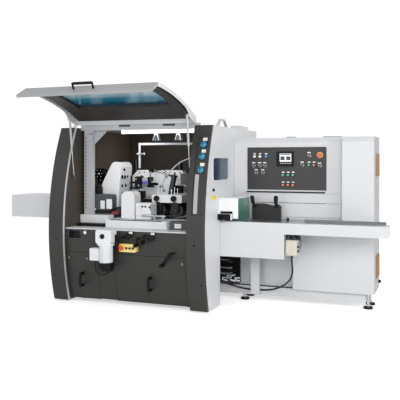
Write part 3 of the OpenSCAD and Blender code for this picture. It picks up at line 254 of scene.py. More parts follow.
# %% Moulded plastics
def moulded(name, tone, shade, roughness, ior=1.49, patch_mm=30.0, coat=0.0):
    """Two close tones in soft patches over a dielectric of the plastic's own IOR."""
    material, tree, place = new_material(name, {"IOR": ior, "Coat Weight": coat})
    patch = add(tree, "TexNoise", {"Vector": place, "Scale": 1 / (patch_mm * MM), "Detail": 4.0})
    add(tree, "Mix", {0: patch, 6: linear(shade), 7: linear(tone)}, 2, "Base Color", data_type="RGBA")
    add(tree, "MapRange", {"Value": patch, "To Min": roughness - 0.05, "To Max": roughness + 0.07},
        to="Roughness")
    return material


# Black parts: a low IOR keeps the white studio out of them, so that they stay black to the eye.
black_plastic = moulded("moulded_nylon_black", "#0d0d0e", "#080809", 0.4, ior=1.27)
black_rubber = moulded("nitrile_rubber_black", "#121213", "#0c0c0d", 0.6, ior=1.35)
# Satin film and dyed parts: an even colour with hardly any highlight.
panel_face = moulded("printed_polyester_black", "#2b2b2c", "#242425", 0.42, patch_mm=200.0)
clamp_red = moulded("moulded_nylon_dark_red", "#8a3a40", "#6f2c32", 0.45)
label_foil = moulded("label_foil_yellow", "#efdf45", "#e3d033", 0.4)
yellow_plastic = moulded("moulded_abs_yellow", "#f5c533", "#eab420", 0.35)
pale_yellow_plastic = moulded("moulded_abs_pale_yellow", "#f7e39a", "#efd67c", 0.38)
orange_plastic = moulded("moulded_abs_orange", "#f2a23a", "#e58f24", 0.36)
violet_plastic = moulded("moulded_nylon_violet", "#6f6bc4", "#5a56a8", 0.35)
# Buttons, lenses and gauge domes: a clear coat over the colour gives them a wet, bright edge.
red_plastic = moulded("moulded_abs_red", "#e2392b", "#c92b20", 0.28, coat=0.4)
green_plastic = moulded("polycarbonate_green", "#35bb93", "#27a07c", 0.25, coat=0.5)
salmon_plastic = moulded("polycarbonate_orange_red", "#f3744f", "#e05f3b", 0.25, coat=0.5)
blue_plastic = moulded("polycarbonate_blue", "#3f8fd4", "#2c78bb", 0.2, coat=0.6)
white_plastic = moulded("polycarbonate_white", "#f2f2ee", "#e4e4df", 0.3, coat=0.3)
gauge_enamel = moulded("gauge_enamel_blue", "#0d86ac", "#0a6488", 0.2, coat=0.45)
# Fleece has no gloss and a blotchy tone, with patches as wide as its tufts.
filter_mat = moulded("filter_fleece_brown", "#b98f68", "#98714d", 0.8, patch_mm=9.0)
print("materials so far:", len(bpy.data.materials))

# %% [markdown]
# ## Perforated lining
# Hood and walls are lined with dark foam behind perforated sheet, which swallows the noise of the
# cutters. The holes stand in staggered rows. The pitch is drawn at about twice the real one, because
# a finer pattern would vanish at this distance. Each lining names the two axes that its sheet spans.


# %% Perforated sheet over foam
def perforated(name, sheet, hole, pitch_mm, hole_share, axes):
    """Round holes in staggered rows: the distance to the nearest centre of two shifted square grids."""
    material, tree, place = new_material(name, {"Roughness": 0.55})
    split = add(tree, "SeparateXYZ", {0: place}).node.outputs
    distances = []
    for shift in (0.0, 0.5):
        squares = []
        for axis in axes:
            cells = add(tree, "Math", {0: split[axis], 1: 1 / (pitch_mm * MM), 2: shift},
                        operation="MULTIPLY_ADD")
            phase = add(tree, "Math", {0: cells}, operation="FRACT")
            middle = add(tree, "Math", {0: phase, 1: 0.5}, operation="SUBTRACT")
            squares.append(add(tree, "Math", {0: middle, 1: 2.0}, operation="POWER"))
        distances.append(add(tree, "Math", {0: squares[0], 1: squares[1]}))
    nearest = add(tree, "Math", {0: distances[0], 1: distances[1]}, operation="MINIMUM")
    edge = add(tree, "MapRange", {"Value": nearest, "From Min": (0.8 * hole_share) ** 2,
                                  "From Max": hole_share ** 2})
    add(tree, "Mix", {0: edge, 6: linear(hole), 7: linear(sheet)}, 2, "Base Color", data_type="RGBA")
    add(tree, "Bump", {"Height": edge, "Strength": 0.8, "Distance": 2 * MM}, to="Normal")
    return material


# Dull brown sheet whose holes read as a fine dark grid, strongest on the hood.
hood_foam = perforated("perforated_sheet_over_foam", "#2e2723", "#0a0807", 36.0, 0.29, (0, 1))
wall_foam = perforated("perforated_wall_foam", "#48423c", "#37322d", 30.0, 0.3, (0, 2))
# The lining's end faces: the wall foam drawn lighter, as painted light.
end_foam_painted_light = perforated("perforated_end_foam_painted_light", "#6e6359", "#584e45", 30.0, 0.3, (1, 2))
side_felt = perforated("perforated_side_foam", "#4d453e", "#3a332d", 30.0, 0.3, (1, 2))
print("with linings:", len(bpy.data.materials))

# %% [markdown]
# ## Tinted panes
# The hood window is blue polycarbonate. Daylight from above comes through it, and the bent sheet shows it as
# a band that runs from deep teal at the hinge to pale grey blue at the lip. That band is painted light and
# reflection in the colour, laid along the depth of the pane.


# %% Polycarbonate panes
def tinted_pane(name, stops, axis, start_mm, end_mm, transmission):
    """Colours blended one after another along one axis between two places in millimetres."""
    material, tree, place = new_material(name, {"Roughness": 0.12, "IOR": 1.58,
                                                "Transmission Weight": transmission})
    along = add(tree, "SeparateXYZ", {0: place}, axis)
    colour = linear(stops[0])
    edges = row(np.linspace([start_mm] * 3, [end_mm] * 3, len(stops)))[:, axis]
    for low, high, tone in zip(edges, edges[1:], stops[1:]):
        part = add(tree, "MapRange", {"Value": along, "From Min": low, "From Max": high},
                   interpolation_type="SMOOTHSTEP")
        colour = add(tree, "Mix", {0: part, 6: colour, 7: linear(tone)}, 2, data_type="RGBA")
    tree.links.new(colour, tree.nodes[SHADER].inputs["Base Color"])
    return material


# Smooth sheet, clear edges of reflection. The hood window's band is painted light and reflection; the end
# window and the curtain change tone along one axis.
hood_pane_painted_reflection = tinted_pane("polycarbonate_blue_painted_reflection", ("#0d4a63", "#2a8cab", "#b4d8e4", "#a3c0ca", "#476b79"),
                        1, -150.0, -647.0, 0.2)
end_pane = tinted_pane("polycarbonate_tinted_navy", ("#12283d", "#1f4763", "#33505f"), 1, 140.0, 600.0, 0.2)
curtain_pvc = tinted_pane("pvc_strip_green", ("#4f8f7d", "#86b3a4"), 2, 837.0, 1046.0, 0.35)
print("with panes:", len(bpy.data.materials))

# %% [markdown]
# ## Light sources and the screen
# The lamp tube and the small display give light of their own, so they are emitters. Their strength
# stays near one, which is white in the picture.


# %% Emitting materials
def glowing(name, tone, strength, cloud_mm=120.0):
    """A shader that gives off its own colour at the given strength, clouded by slow noise."""
    material, tree, place = new_material(name, {"Emission Strength": strength, "Base Color": linear(tone)})
    cloud = add(tree, "TexNoise", {"Vector": place, "Scale": 1 / (cloud_mm * MM)})
    add(tree, "Mix", {0: cloud, 6: linear(tone), 7: linear("#ffffff")}, 2, "Emission Color", data_type="RGBA")
    return material


# The tube is the one thing that burns out to white; the display only looks lit.
lamp_glow = glowing("fluorescent_glass", "#f4f8fb", 1.6)
display_glow = glowing("lcd_display", "#dfe6e8", 0.55)
print("all materials of the machine:", len(bpy.data.materials))

# %% [markdown]
# ## Dressing the solids
# Each solid gets its finish. Where one node holds several finishes, such as a foot with a rubber pad
# and a steel stud, the faces are picked by where their middles lie, in machine millimetres. The
# meshes themselves stay as they were packed.


# %% Picking faces
def face_middles(obj):
    """The middle of every face of a solid, in machine millimetres."""
    middles = np.empty(len(obj.data.polygons) * 3)
    obj.data.polygons.foreach_get("center", middles)
    return machine(middles.reshape(-1, 3))


def dress(name, base, *zones):
    """Base finish for a whole solid, then zones: a finish and a test on the faces' middles."""
    mesh = nodes[name].data
    mesh.materials.clear()
    mesh.materials.append(base)
    chosen = np.zeros(len(mesh.polygons), np.int32)
    x, y, z = face_middles(nodes[name]).T
    for number, (finish, test) in enumerate(zones, 1):
        mesh.materials.append(finish)
        chosen[test(x, y, z)] = number
    mesh.polygons.foreach_set("material_index", chosen)
    mesh.update()


def near(a, b, places, radius):
    """True where a face lies within a radius of one of the places, in the plane of two axes."""
    return np.any([(a - p[0]) ** 2 + (b - p[1]) ** 2 < radius ** 2 for p in places], axis=0)


def between(values, low, high):
    """True where a value lies between two bounds."""
    return (values > low) & (values < high)


print("faces on the pillars:", len(face_middles(nodes["pillars"])))

# %% [markdown]
# ## Solids with one finish
# Most solids are one piece of one material. They are listed by finish, the way a paint shop sorts
# its batches.

# %% One finish each
for plain, names in {
    dark_coat: ("base_frame", "front_panel"),
    light_coat: ("roof_and_back", "sill", "infeed_apron", "outfeed_guard"),
    white_coat: ("chip_hoods", "top_head"),
    cast_coat: ("bed", "spindle_housings"),
    ground_steel: ("bed_plates", "fence"),
    turned_steel: ("strut_rods", "lifting_eyes", "bottom_spindle", "fence_spindle", "near_spindle",
                   "top_spindle"),
    dark_steel: ("guide_columns", "infeed_roller", "middle_roller"),
    black_rubber: ("box_cable", "hose_bundle"),
    black_plastic: ("hood_handle", "left_clamp_lever", "right_clamp_lever", "hand_crank"),
    black_coat: ("lever_bracket",),
    # Painted shade: the white inner frame is drawn in mid grey.
    mid_grey_and_painted_shade_coat: ("strut_tubes", "inner_frame"),
    cover_coat: ("motor_cover",),
    hood_foam: ("hood_lining",),
    hood_pane_painted_reflection: ("hood_window",),
    end_pane: ("end_window",),
    curtain_pvc: ("entry_curtain",),
    red_plastic: ("panel_stop", "station_stop"),
    green_plastic: ("start_buttons",),
    salmon_plastic: ("stop_buttons",),
}.items():
    for name in names:
        dress(name, plain)
print("dressed:", sum(bool(solid.data.materials) for solid in nodes.values()))

# %% [markdown]
# ## Enclosure, tables and cabinet
# Walls are painted outside and lined inside, the hood's lip and the cabinet's end are a darker grey as
# painted shade, and the tables are ground only where the wood slides. A depth or a height tells these faces
# apart.

# %% Enclosure, tables and cabinet
FACE = 0.5
LIP_Y = -713.0
LEFT_POST_X = 165.0
LINING_DEPTH = 9.5
LINING_REACH = 730
GRIP_Z = (160, 310)
END_KNOB_Z = (1115, 1155)
LATCH_Z = 448
LATCHES = [(x, LATCH_Z) for x in (204, 407, 748, ENCLOSURE_W - 237)]
DOOR_GRIPS = {"left_door": 341.0, "right_door": 1084.0}
PAD_TOP = 18.5
FILTER_Y = 1070
dress("pillars", dark_coat, (light_coat, lambda x, y, z: np.abs(x - LEFT_POST_X) < FACE))
dress("left_end_wall", light_coat, (side_felt, lambda x, y, z: x > LINING_DEPTH))
dress("right_end_wall", light_coat,
      (black_plastic, lambda x, y, z: between(z, *END_KNOB_Z) & (y < 160) & (x > ENCLOSURE_W + 1)),
      (side_felt, lambda x, y, z: x < ENCLOSURE_W - LINING_DEPTH))
dress("acoustic_lining", wall_foam,
      # Painted light: the end faces of the lining are a lighter copy of its foam.
      (end_foam_painted_light, lambda x, y, z: (np.abs(x - ENCLOSURE_W / 2) > LINING_REACH) & (y < REAR_WALL_Y - 100)))
dress("hood_shell", light_coat, (lip_painted_shade_coat, lambda x, y, z: y < LIP_Y))
for name, grip_x in DOOR_GRIPS.items():
    dress(name, dark_coat,
          (black_plastic, lambda x, y, z: between(z, *GRIP_Z) & (y < -22) & (np.abs(x - grip_x) < 14)),
          (rail_steel, lambda x, y, z: near(x, z, LATCHES, 15)))
dress("levelling_feet", turned_steel, (black_rubber, lambda x, y, z: z < PAD_TOP))
dress("feed_tables", ground_steel,
      (light_coat, lambda x, y, z: z < TABLE_Z - 30),
      (rail_steel, lambda x, y, z: z > TABLE_Z + 1))
dress("cabinet_shell", light_coat,
      # Painted shade: the cabinet's end is drawn a darker grey than its front.
      (side_grey_and_painted_shade_coat, lambda x, y, z: x > CABINET_X1 - 1),
      (filter_mat, lambda x, y, z: (x > CABINET_X1 + 1) & (y < FILTER_Y)),
      (black_plastic, lambda x, y, z: (x > CABINET_X1 + 1) & (y > FILTER_Y)))
print("latches:", len(LATCHES), "doors with grips:", len(DOOR_GRIPS))

# %% [markdown]
# ## Drives, gauges and controls
# Castings and motors are enamelled, what a hand turns is black plastic, and what signals is coloured.
# Places on the control panel count from its lower left corner.

# %% Drives, gauges and controls
PANEL = (1804.0, 782.0, 1118.0)
LAMPS = [(77, 337), (135, 337), (198, 337)]
PANEL_STOP = (747, 350)
GAUGES_Z = np.array([1560.0, 1449.0, 1323.0])
PLATE_RISE = 52
WHEEL_MIDDLE = (345, 1000)
BOX_FOOT = 518
BOX_TOP = 664.5
BELT_Z = (572, 618)
COUNTER_Z = (711, 734)
TRAY_KNOB = (395, 705)
MOTOR_FAN_Z = 442
CYLINDER_LEAN = math.tan(math.radians(12))


def on_panel(x, y, z, places, radius):
    """Faces that stand out of the control panel within a radius of some places on it."""
    return (y < PANEL[1] - FACE) & near(x - PANEL[0], z - PANEL[2], places, radius)


def on_cylinder(x, y, z):
    """Faces of the air cylinder, whose middle moves sideways as it rises."""
    middle = 1040 + CYLINDER_LEAN * (z - 1060)
    return (z > 1066) & (np.abs(y - 560) < 34) & (np.abs(x - middle) < 42)


dress("spindle_drives", motor_coat, (black_rubber, lambda x, y, z: between(z, *BELT_Z)))
dress("work_light", chrome_plate, (lamp_glow, lambda x, y, z: (y < 275) & (z > 1680)))
dress("junction_box", cream_plastic, (dark_steel, lambda x, y, z: (z > BOX_TOP) | (z < BOX_FOOT)))
dress("gearmotor", cast_coat, (black_plastic, lambda x, y, z: (z < MOTOR_FAN_Z) | (y < -205.5) & (z > 640)))
dress("button_station", pale_yellow_plastic,
      (orange_plastic, lambda x, y, z: x < 846),
      (black_plastic, lambda x, y, z: (y < -102.5) & (x > 850)))
dress("hand_controls", black_plastic,
      (white_plastic, lambda x, y, z: between(z, *COUNTER_Z) & (y < -77)),
      (chrome_plate, lambda x, y, z: near(x, z, [TRAY_KNOB], 18)))
dress("hand_wheel", turned_steel, (black_plastic, lambda x, y, z: near(y, z, [WHEEL_MIDDLE], 22)))
dress("control_panel", panel_face,
      (black_plastic, lambda x, y, z: y < PANEL[1] - FACE),
      (white_plastic, lambda x, y, z: on_panel(x, y, z, LAMPS[:2], 15)),
      (blue_plastic, lambda x, y, z: on_panel(x, y, z, LAMPS[2:], 15)),
      (yellow_plastic, lambda x, y, z: on_panel(x, y, z, [PANEL_STOP], 31)))
dress("gauges", gauge_enamel,
      (side_grey_and_painted_shade_coat, lambda x, y, z: z < GAUGES_Z[2] - 36),
      (white_plastic, lambda x, y, z: (np.abs(z[:, None] - GAUGES_Z - PLATE_RISE) < 17).any(1)))
dress("entry_guard", white_coat, (black_plastic, lambda x, y, z: y < 268.5))
dress("feed_carriers", white_coat,
      (black_coat, lambda x, y, z: z < 983),
      (black_plastic, lambda x, y, z: (y < 424) & (z > 960)),
      (dark_steel, on_cylinder))
print("dressed:", sum(bool(solid.data.materials) for solid in nodes.values()), "of", len(nodes))

# %% [markdown]
# ## From arrays to objects
# Every new piece is a grid of points: a profile spun round an axis, a section carried along a path, or a
# stack of outlines. One function gives the quads between neighbouring points, and another makes the object,
# which rides on a body of the machine.

# %% Grids and objects
MERGE = 1e-6
SHARP = math.radians(38)


def grid_faces(rows, columns):
    """Quads between neighbouring points of a grid whose last column joins its first."""
    r = np.arange(rows - 1)[:, None]
    c = np.arange(columns)[None, :]
    c2 = (c + 1) % columns
    corners = [r * columns + c, r * columns + c2, (r + 1) * columns + c2, (r + 1) * columns + c]
    return np.stack([np.broadcast_to(k, (r.size, c.size)) for k in corners], -1).reshape(-1, 4)


def put_mesh(name, points, faces, finish, body="machine"):
    """An object from points in machine millimetres; points that coincide merge, which closes poles."""
    mesh = bpy.data.meshes.new(name)
    mesh.from_pydata(row(points).tolist(), [], faces.tolist())
    merged = bmesh.new()
    merged.from_mesh(mesh)
    bmesh.ops.remove_doubles(merged, verts=merged.verts, dist=MERGE)
    merged.to_mesh(mesh)
    merged.free()
    mesh.materials.append(finish)
    mesh.polygons.foreach_set("use_smooth", np.ones(len(mesh.polygons), bool))
    mesh.set_sharp_from_angle(angle=SHARP)
    mesh.update()
    obj = new_object(name, mesh)
    if body:
        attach(obj, body)
    return obj


# %% [markdown]
# ## Cords
# A cable or hose keeps one thickness and bends in one smooth curve, so it is a circle carried along a curve
# through listed places. Corrugated hose swells and shrinks once per rib, which a sine on the radius gives.

# %% Paths, tubes and cords
PATH_STEPS = 6
RIB_SHARE = 0.1
RIB_STEPS = 4


def smooth_path(places, steps=PATH_STEPS):
    """Catmull-Rom curve: between two points, a cubic whose slopes come from the points on both sides."""
    p = np.asarray(places, float)
    p = np.vstack([2 * p[0] - p[1], p, 2 * p[-1] - p[-2]])
    t = np.linspace(0, 1, steps, endpoint=False)[None, :, None]
    a, b, c, d = (p[i:len(p) - 3 + i][:, None, :] for i in range(4))
    curve = b + 0.5 * t * (c - a + t * (2 * a - 5 * b + 4 * c - d + t * (3 * (b - c) + d - a)))
    return np.vstack([curve.reshape(-1, 3), p[-2]])


def tube(path, radius, sides=12):
    """Circles carried along a path, each square to the path's direction there, closed at both ends."""
    path = np.asarray(path, float)
    along = np.gradient(path, axis=0)
    along /= np.linalg.norm(along, axis=1, keepdims=True)
    lean = np.where(np.abs(along[:, 2:3]) > 0.9, [[0.2, 1.0, 0.1]], [[0.1, 0.2, 1.0]])
    side = np.cross(along, lean)
    side /= np.linalg.norm(side, axis=1, keepdims=True)
    up = np.cross(side, along)
    turn = np.linspace(0, 2 * np.pi, sides, endpoint=False)[None, :, None]
    radius = np.broadcast_to(np.asarray(radius, float), len(path))[:, None, None]
    rings = path[:, None] + radius * (np.cos(turn) * side[:, None] + np.sin(turn) * up[:, None])
    ends = np.repeat(path[[0, -1], None], sides, axis=1)
    rings = np.concatenate([ends[:1], rings, ends[1:]])
    return rings.reshape(-1, 3), grid_faces(len(rings), sides)[:, ::-1]


def lay_cord(name, places, radius, body="machine", finish=black_rubber, pitch=None):
    """A round cord on a smooth path; with a pitch its radius follows a sine of its length."""
    path = smooth_path(places)
    length = np.concatenate([[0.0], np.cumsum(np.linalg.norm(np.diff(path, axis=0), axis=1))])
    swell = 1.0
    if pitch:
        even = np.linspace(0, length[-1], int(RIB_STEPS * length[-1] / pitch))
        path = np.stack([np.interp(even, length, path[:, k]) for k in range(3)], 1)
        swell = 1 + RIB_SHARE * np.sin(even / pitch * 2 * np.pi)
    obj = put_mesh(name, *tube(path, radius * swell), finish, body)
    return obj


print("steps between two places of a path:", PATH_STEPS)

# %% [markdown]
# ## The junction box cable
# A black cable leaves the gland of the junction box, hangs in a slack bend and runs along the plinth
# into the base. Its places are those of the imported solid, which it replaces.

# %% Cable of the junction box
CABLE_R = 8.0
CABLE_PLACES = [
    (2356, 402, 497), (2356, 402, 470), (2357, 406, 435), (2358, 416, 400), (2355, 432, 365),
    (2345, 455, 325), (2325, 485, 285), (2295, 520, 248), (2255, 560, 212), (2205, 603, 178),
    (2145, 645, 148), (2080, 680, 126), (2015, 700, 114), (1950, 704, 110), (1885, 704, 109),
    (1820, 704, 112), (1755, 703, 120), (1695, 700, 134), (1640, 696, 150), (1590, 690, 164),
    (1545, 684, 174), (1515, 680, 180), (1500, 680, 180),
]
cable = lay_cord("junction_cable", CABLE_PLACES, CABLE_R)
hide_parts("box_cable")

# %% [markdown]
# ## Two ways to make small pieces
# Nearly every fitting on such a machine is either turned or folded from sheet. A turned piece is a
# profile spun round an axis; a plate is a stack of rounded rectangles with a bevelled rim. Both are
# grids of points, so whole arrays make them at once, and many small ones can share one object.

# %% Turned pieces and plates
RIGHT, FRONT, BACK, UP = (1, 0, 0), (0, -1, 0), (0, 1, 0), (0, 0, 1)
FACINGS = {
    "front": (RIGHT, UP, FRONT),
    "back": ((-1, 0, 0), UP, BACK),
    "right": (BACK, UP, RIGHT),
    "top": (RIGHT, BACK, UP),
}
CORNER_STEPS = 6


def turned(profile, base, axis=FRONT, sides=24):
    """A profile of radius and height pairs spun round an axis that starts at the base point."""
    axis = np.asarray(axis, float) / np.linalg.norm(axis)
    lean = np.array([0.0, 0.0, 1.0]) if abs(axis[2]) < 0.9 else np.array([1.0, 0.0, 0.0])
    u = np.cross(lean, axis)
    u /= np.linalg.norm(u)
    v = np.cross(axis, u)
    turn = np.linspace(0, 2 * np.pi, sides, endpoint=False)[None, :, None]
    radius, height = (c[:, None, None] for c in np.asarray(profile, float).T)
    rings = np.asarray(base, float) + height * axis + radius * (np.cos(turn) * u + np.sin(turn) * v)
    return rings.reshape(-1, 3), grid_faces(len(profile), sides)


def plate(middle, width, height, depth, facing="front", corner=3.0, bevel=1.0, turn=0.0):
    """Rounded rectangles stacked along the way the plate faces, from its back middle to its face."""
    u, v, n = (np.array(k, float) for k in FACINGS[facing])
    u, v = u * math.cos(turn) + v * math.sin(turn), v * math.cos(turn) - u * math.sin(turn)
    flat = min(width, height) / 2
    rings = np.array([(flat, 0), (0, 0), (0, depth - bevel), (bevel, depth), (flat, depth)])
    inset, rise = rings[:, :1], rings[:, 1:]
    radius = np.clip(corner - inset, 0.0, flat - inset)
    quarter = np.linspace(0, np.pi / 2, CORNER_STEPS)
    angle = np.concatenate([quarter + k * np.pi / 2 for k in range(4)])
    quadrant = np.repeat(np.array([(1, 1), (-1, 1), (-1, -1), (1, -1)]), CORNER_STEPS, axis=0)
    a = quadrant[:, 0] * (width / 2 - inset - radius) + radius * np.cos(angle)
    b = quadrant[:, 1] * (height / 2 - inset - radius) + radius * np.sin(angle)
    points = np.asarray(middle, float) + a[..., None] * u + b[..., None] * v
    points = points + (rise * np.ones_like(a))[..., None] * n
    return points.reshape(-1, 3), grid_faces(*a.shape)


print("facings:", ", ".join(FACINGS))

# %% [markdown]
# ## Caps, ribs and groups
# Bolt heads, knobs and lenses are low caps, and rods and glands are ribbed, so both profiles get a
# function. Many such pieces of one finish are then put into one object.


# %% Caps, ribs and groups
def plates(rows, facing="front"):
    """One plate for each row of middle, width, height, depth, corner and bevel."""
    return [plate(*size, facing, corner, bevel) for *size, corner, bevel in rows]


def dome(radius, height):
    """Profile of a low cap: a flat foot, a short wall and a quarter ellipse up to the middle."""
    t = np.linspace(0, np.pi / 2, 7)
    wall = [(max(0.0, radius * math.cos(k)), height * (0.3 + 0.7 * math.sin(k))) for k in t]
    return [(0, 0), (radius, 0)] + wall


def domes(radius, height, places, axis=FRONT, sides=24):
    """The same low cap at each of some places."""
    return [turned(dome(radius, height), place, axis, sides) for place in places]


def ribbed(radius, length, ribs, depth):
    """Profile of a ribbed body: the radius drops by the depth between evenly spaced ribs."""
    t = np.linspace(0, 1, 8 * ribs + 1)
    r = radius - depth * (np.sin(t * ribs * 2 * np.pi) > 0.2)
    return [(0, 0)] + list(zip(r, t * length)) + [(0, length)]


def put(name, parts, finish, body="machine"):
    """One object from many small grids: their points are stacked and their faces counted on."""
    starts = np.cumsum([0] + [len(points) for points, _ in parts[:-1]])
    points = np.vstack([points for points, _ in parts])
    faces = np.vstack([faces + start for (_, faces), start in zip(parts, starts)])
    return put_mesh(name, points, faces, finish, body)


print("rings in a cap's profile:", len(dome(1.0, 1.0)))

# %% [markdown]
# ## Curved front
# Pillars, panel and doors share one big arc. The arc's middle and radius give the place and the
# outward direction at any height, so plugs and frames sit flush on the curve.

# %% Plugs and tray frame on the curved front
ARC_MIDDLE = (2349.87, 714.16)
ARC_R = 2456.0
PLUGS = [(93, 633), (40, 268), (1564, 631), (1617, 264)]
TRAY = [(190, 640), (345, 640), (336, 722), (199, 722), (190, 640)]
TRAY_DEPTH = 55.0


def on_front(x, z, depth=0.0):
    """The place on the front arc at a height, set back by a depth, and the way out of it."""
    slope = np.arcsin((np.asarray(z, float) - ARC_MIDDLE[1]) / (ARC_R - depth))
    y = ARC_MIDDLE[0] - (ARC_R - depth) * np.cos(slope)
    return np.array([x, y, z]), np.array([0.0, -math.cos(slope), math.sin(slope)])


put("pillar_plugs", [turned(dome(9, 4), *on_front(x, z)) for x, z in PLUGS], black_plastic)
tray_path = np.vstack([np.linspace(a, b, 12) for a, b in zip(TRAY[:-1], TRAY[1:])])
tray_rim = [on_front(x, z, TRAY_DEPTH)[0] for x, z in tray_path]
put("tray_rim", [tube(tray_rim, radius=4.0, sides=8)], motor_coat)
print("plugs:", len(PLUGS))

# %% [markdown]
# ## Handles on the front
# The solids carry slim bars and studs where a hand takes hold. The moulded grips that people see are
# sleeves over them: a bow carried along a path for the doors, a barrel for each crank, a dome for
# each star knob and a swelling sleeve for each clamp lever. The gearmotor's lead hangs below it.

# %% Grips, barrels and star knobs
GRIP_BOW = [(-14, 177), (-52, 176), (-68, 196), (-70, 235), (-68, 274), (-52, 294), (-14, 293)]
HOOD_BAR = [(x, -807.5, 2075.3) for x in np.linspace(722, 903, 12)]
BARREL = [(0, 0), (14, 0), (18, 10), (18, 44), (13, 58), (0, 60)]
STAR = [(0, 0), (26, 0), (31, 7), (31, 17), (22, 26), (0, 28)]
SLEEVE = [(0, 0), (15, 0), (20, 40), (22, 64), (19, 78), (10, 86), (0, 88)]
CLAMP_LEVERS = [("left_clamp_lever", 1920, -12), ("right_clamp_lever", 2145, 0)]
LEVER_PIVOT_Z = 960.0
SLEEVE_START = 20
CRANK_TURN = math.radians(55)
LEAD_PLACES = [(562, -150, 457), (561, -150, 415), (562, -150, 372), (580, -148, 329), (622, -135, 312),
               (664, -105, 329), (682, -66, 372), (684, -36, 392)]
for name, x in DOOR_GRIPS.items():
    bow = smooth_path([(x, y, z) for y, z in GRIP_BOW])
    put(name + "_grip", [tube(bow, radius=15.0, sides=14)], black_plastic, name)
put("hood_grip", [tube(HOOD_BAR, radius=13.0, sides=16)], black_plastic, "hood")
crank = [turned(BARREL, (1262.7, -140, 441.8)),
         plate((1299, -126, 493.4), 160, 34, 16, corner=17, bevel=3, turn=CRANK_TURN)]
put("crank_sleeve", crank, black_plastic, "hand_crank")
stars = [turned(STAR, (x, -92, z)) for x, z in [(886, 691), (1121, 682)]]
for x, z in [(981, 641), (1050, 670)]:
    stars.append(plate((x, -96, z), 26, 90, 14, corner=13, bevel=3))
    stars.append(turned(BARREL, (x, -104, z - 31)))
put("adjusting_knobs", stars, black_plastic)
lay_cord("motor_lead", LEAD_PLACES, 6.4)
for name, x, lean in CLAMP_LEVERS:
    axis = np.array([math.sin(math.radians(lean)), 0.0, math.cos(math.radians(lean))])
    sleeve = turned(SLEEVE, np.array([x, 620, LEVER_PIVOT_Z]) + SLEEVE_START * axis, axis)
    put(name + "_sleeve", [sleeve], black_plastic, name)
print("door grips:", len(DOOR_GRIPS), "star knobs and barrels:", len(stars))

# %% [markdown]
# ## Control panel
# Every lamp and button has a small blank label above it, every selector a white pointer, and the
# display sits in a black frame with a row of keys. Thin plates and low domes are enough for all of
# them, set by their places on the panel.

# %% Labels, pointers and lenses
SELECTORS = [(66, 245), (130, 245), (183, 245), (93, 173), (162, 173), (638, 346), (568, 251), (742, 242)]
STARTS = [(375, 150), (426, 150), (477, 150), (638, 251)]
STOPS = [(375, 50), (426, 50), (477, 50), (688, 251)]
POINTER_TURN = math.radians(-35)
SELECTOR_RING = [(19, 0), (19, 3), (16.5, 4.5), (16.5, 0)]


def panel_place(p, rise=0.0, out=0.0):
    """A place on the panel's face from its panel coordinates, raised and moved out a little."""
    return (PANEL[0] + p[0], PANEL[1] - out, PANEL[2] + p[1] + rise)


labels = [plate(panel_place(p, 28), 26, 11, 1.2, corner=1.5, bevel=0.3) for p in LAMPS + STARTS + STOPS]
labels += [plate(panel_place(p, 29), 34, 10, 1.2, corner=1.5, bevel=0.3) for p in SELECTORS]
put("panel_labels", labels, white_plastic)
pointers = [plate(panel_place(p, out=24), 26, 4, 0.8, corner=1.0, bevel=0.2, turn=POINTER_TURN)
            for p in SELECTORS]
put("selector_pointers", pointers, white_plastic)
put("selector_rings", [turned(SELECTOR_RING, panel_place(p)) for p in SELECTORS], chrome_plate)
lenses = domes(12, 7, [panel_place(p, out=13) for p in LAMPS])
print("labels:", len(labels), "selectors:", len(pointers))

# %% [markdown]
# ## Display
# The display is a lit glass in its frame, with a bar and two fields on it and five keys below. Each
# layer stands half a millimetre or so in front of the last, so that none shines through another.

# %% Display and lamp lenses
put("display_glass", [plate((2206, 767, 1443), 118, 80, 0.8, corner=2, bevel=0.2)], display_glow)
keys = [plate((2158 + 24 * i, 768, 1386), 15, 10, 2.0, corner=2, bevel=0.6) for i in range(5)]
put("display_keys", keys, mid_grey_and_painted_shade_coat)
fields = plates([((2206, 766.2, 1474), 108, 10, 0.5, 1, 0.1), ((2176, 766.2, 1436), 44, 40, 0.5, 2, 0.1),
                 ((2236, 766.2, 1436), 44, 40, 0.5, 2, 0.1)])
put("display_fields", fields, motor_coat)
put("white_lenses", lenses[:2], white_plastic)
put("blue_lens", lenses[2:], blue_plastic)
print("keys:", len(keys), "lenses:", len(lenses))

# %% [markdown]
# ## Cabinet
# The cabinet shows a black strip as painted shade in the gap between its boards, a dark strip under the
# panel, slatted filters on the end and low vents on top.
# The slats are plates in even steps over the height of each filter.

# %% Joints, slats and vents
FILTERS = [(382.5, 215), (1371, 218)]
SLATS = 6
# Painted shade: the first strip fills the gap between the boards; the second is a dark strip under the panel.
gap_shade_and_panel_strip = plates([((2205, 788, 988), 800, 5, 12, 1, 0.5), ((2205, 761, 1097), 800, 13, 3, 1, 0.5)])
put("board_gap_shade_and_panel_strip", gap_shade_and_panel_strip, black_rubber)
slats = [plate((CABINET_X1 + 12, 945, z + (k - 2.5) * h / SLATS), 214, 9, 4, "right", corner=2, bevel=1.5)
         for z, h in FILTERS for k in range(SLATS)]
put("filter_slats", slats, filter_mat)
vents = plates([((2237, 900, 1645), 94, 70, 12, 8, 4), ((2657, 900, 1645), 180, 70, 12, 8, 4)], "top")
put("roof_vents", vents, side_grey_and_painted_shade_coat)
print("slats:", len(slats), "vents:", len(vents))

# %% [markdown]
# ## Inside the open hood
# What makes a moulder look like one is the crowd of fittings over the bed: white arms that carry black
# pressure blocks, ribbed rods, a solenoid valve and rows of bolts. All of them belong to the feed
# beam, so they ride on it and rise with it.

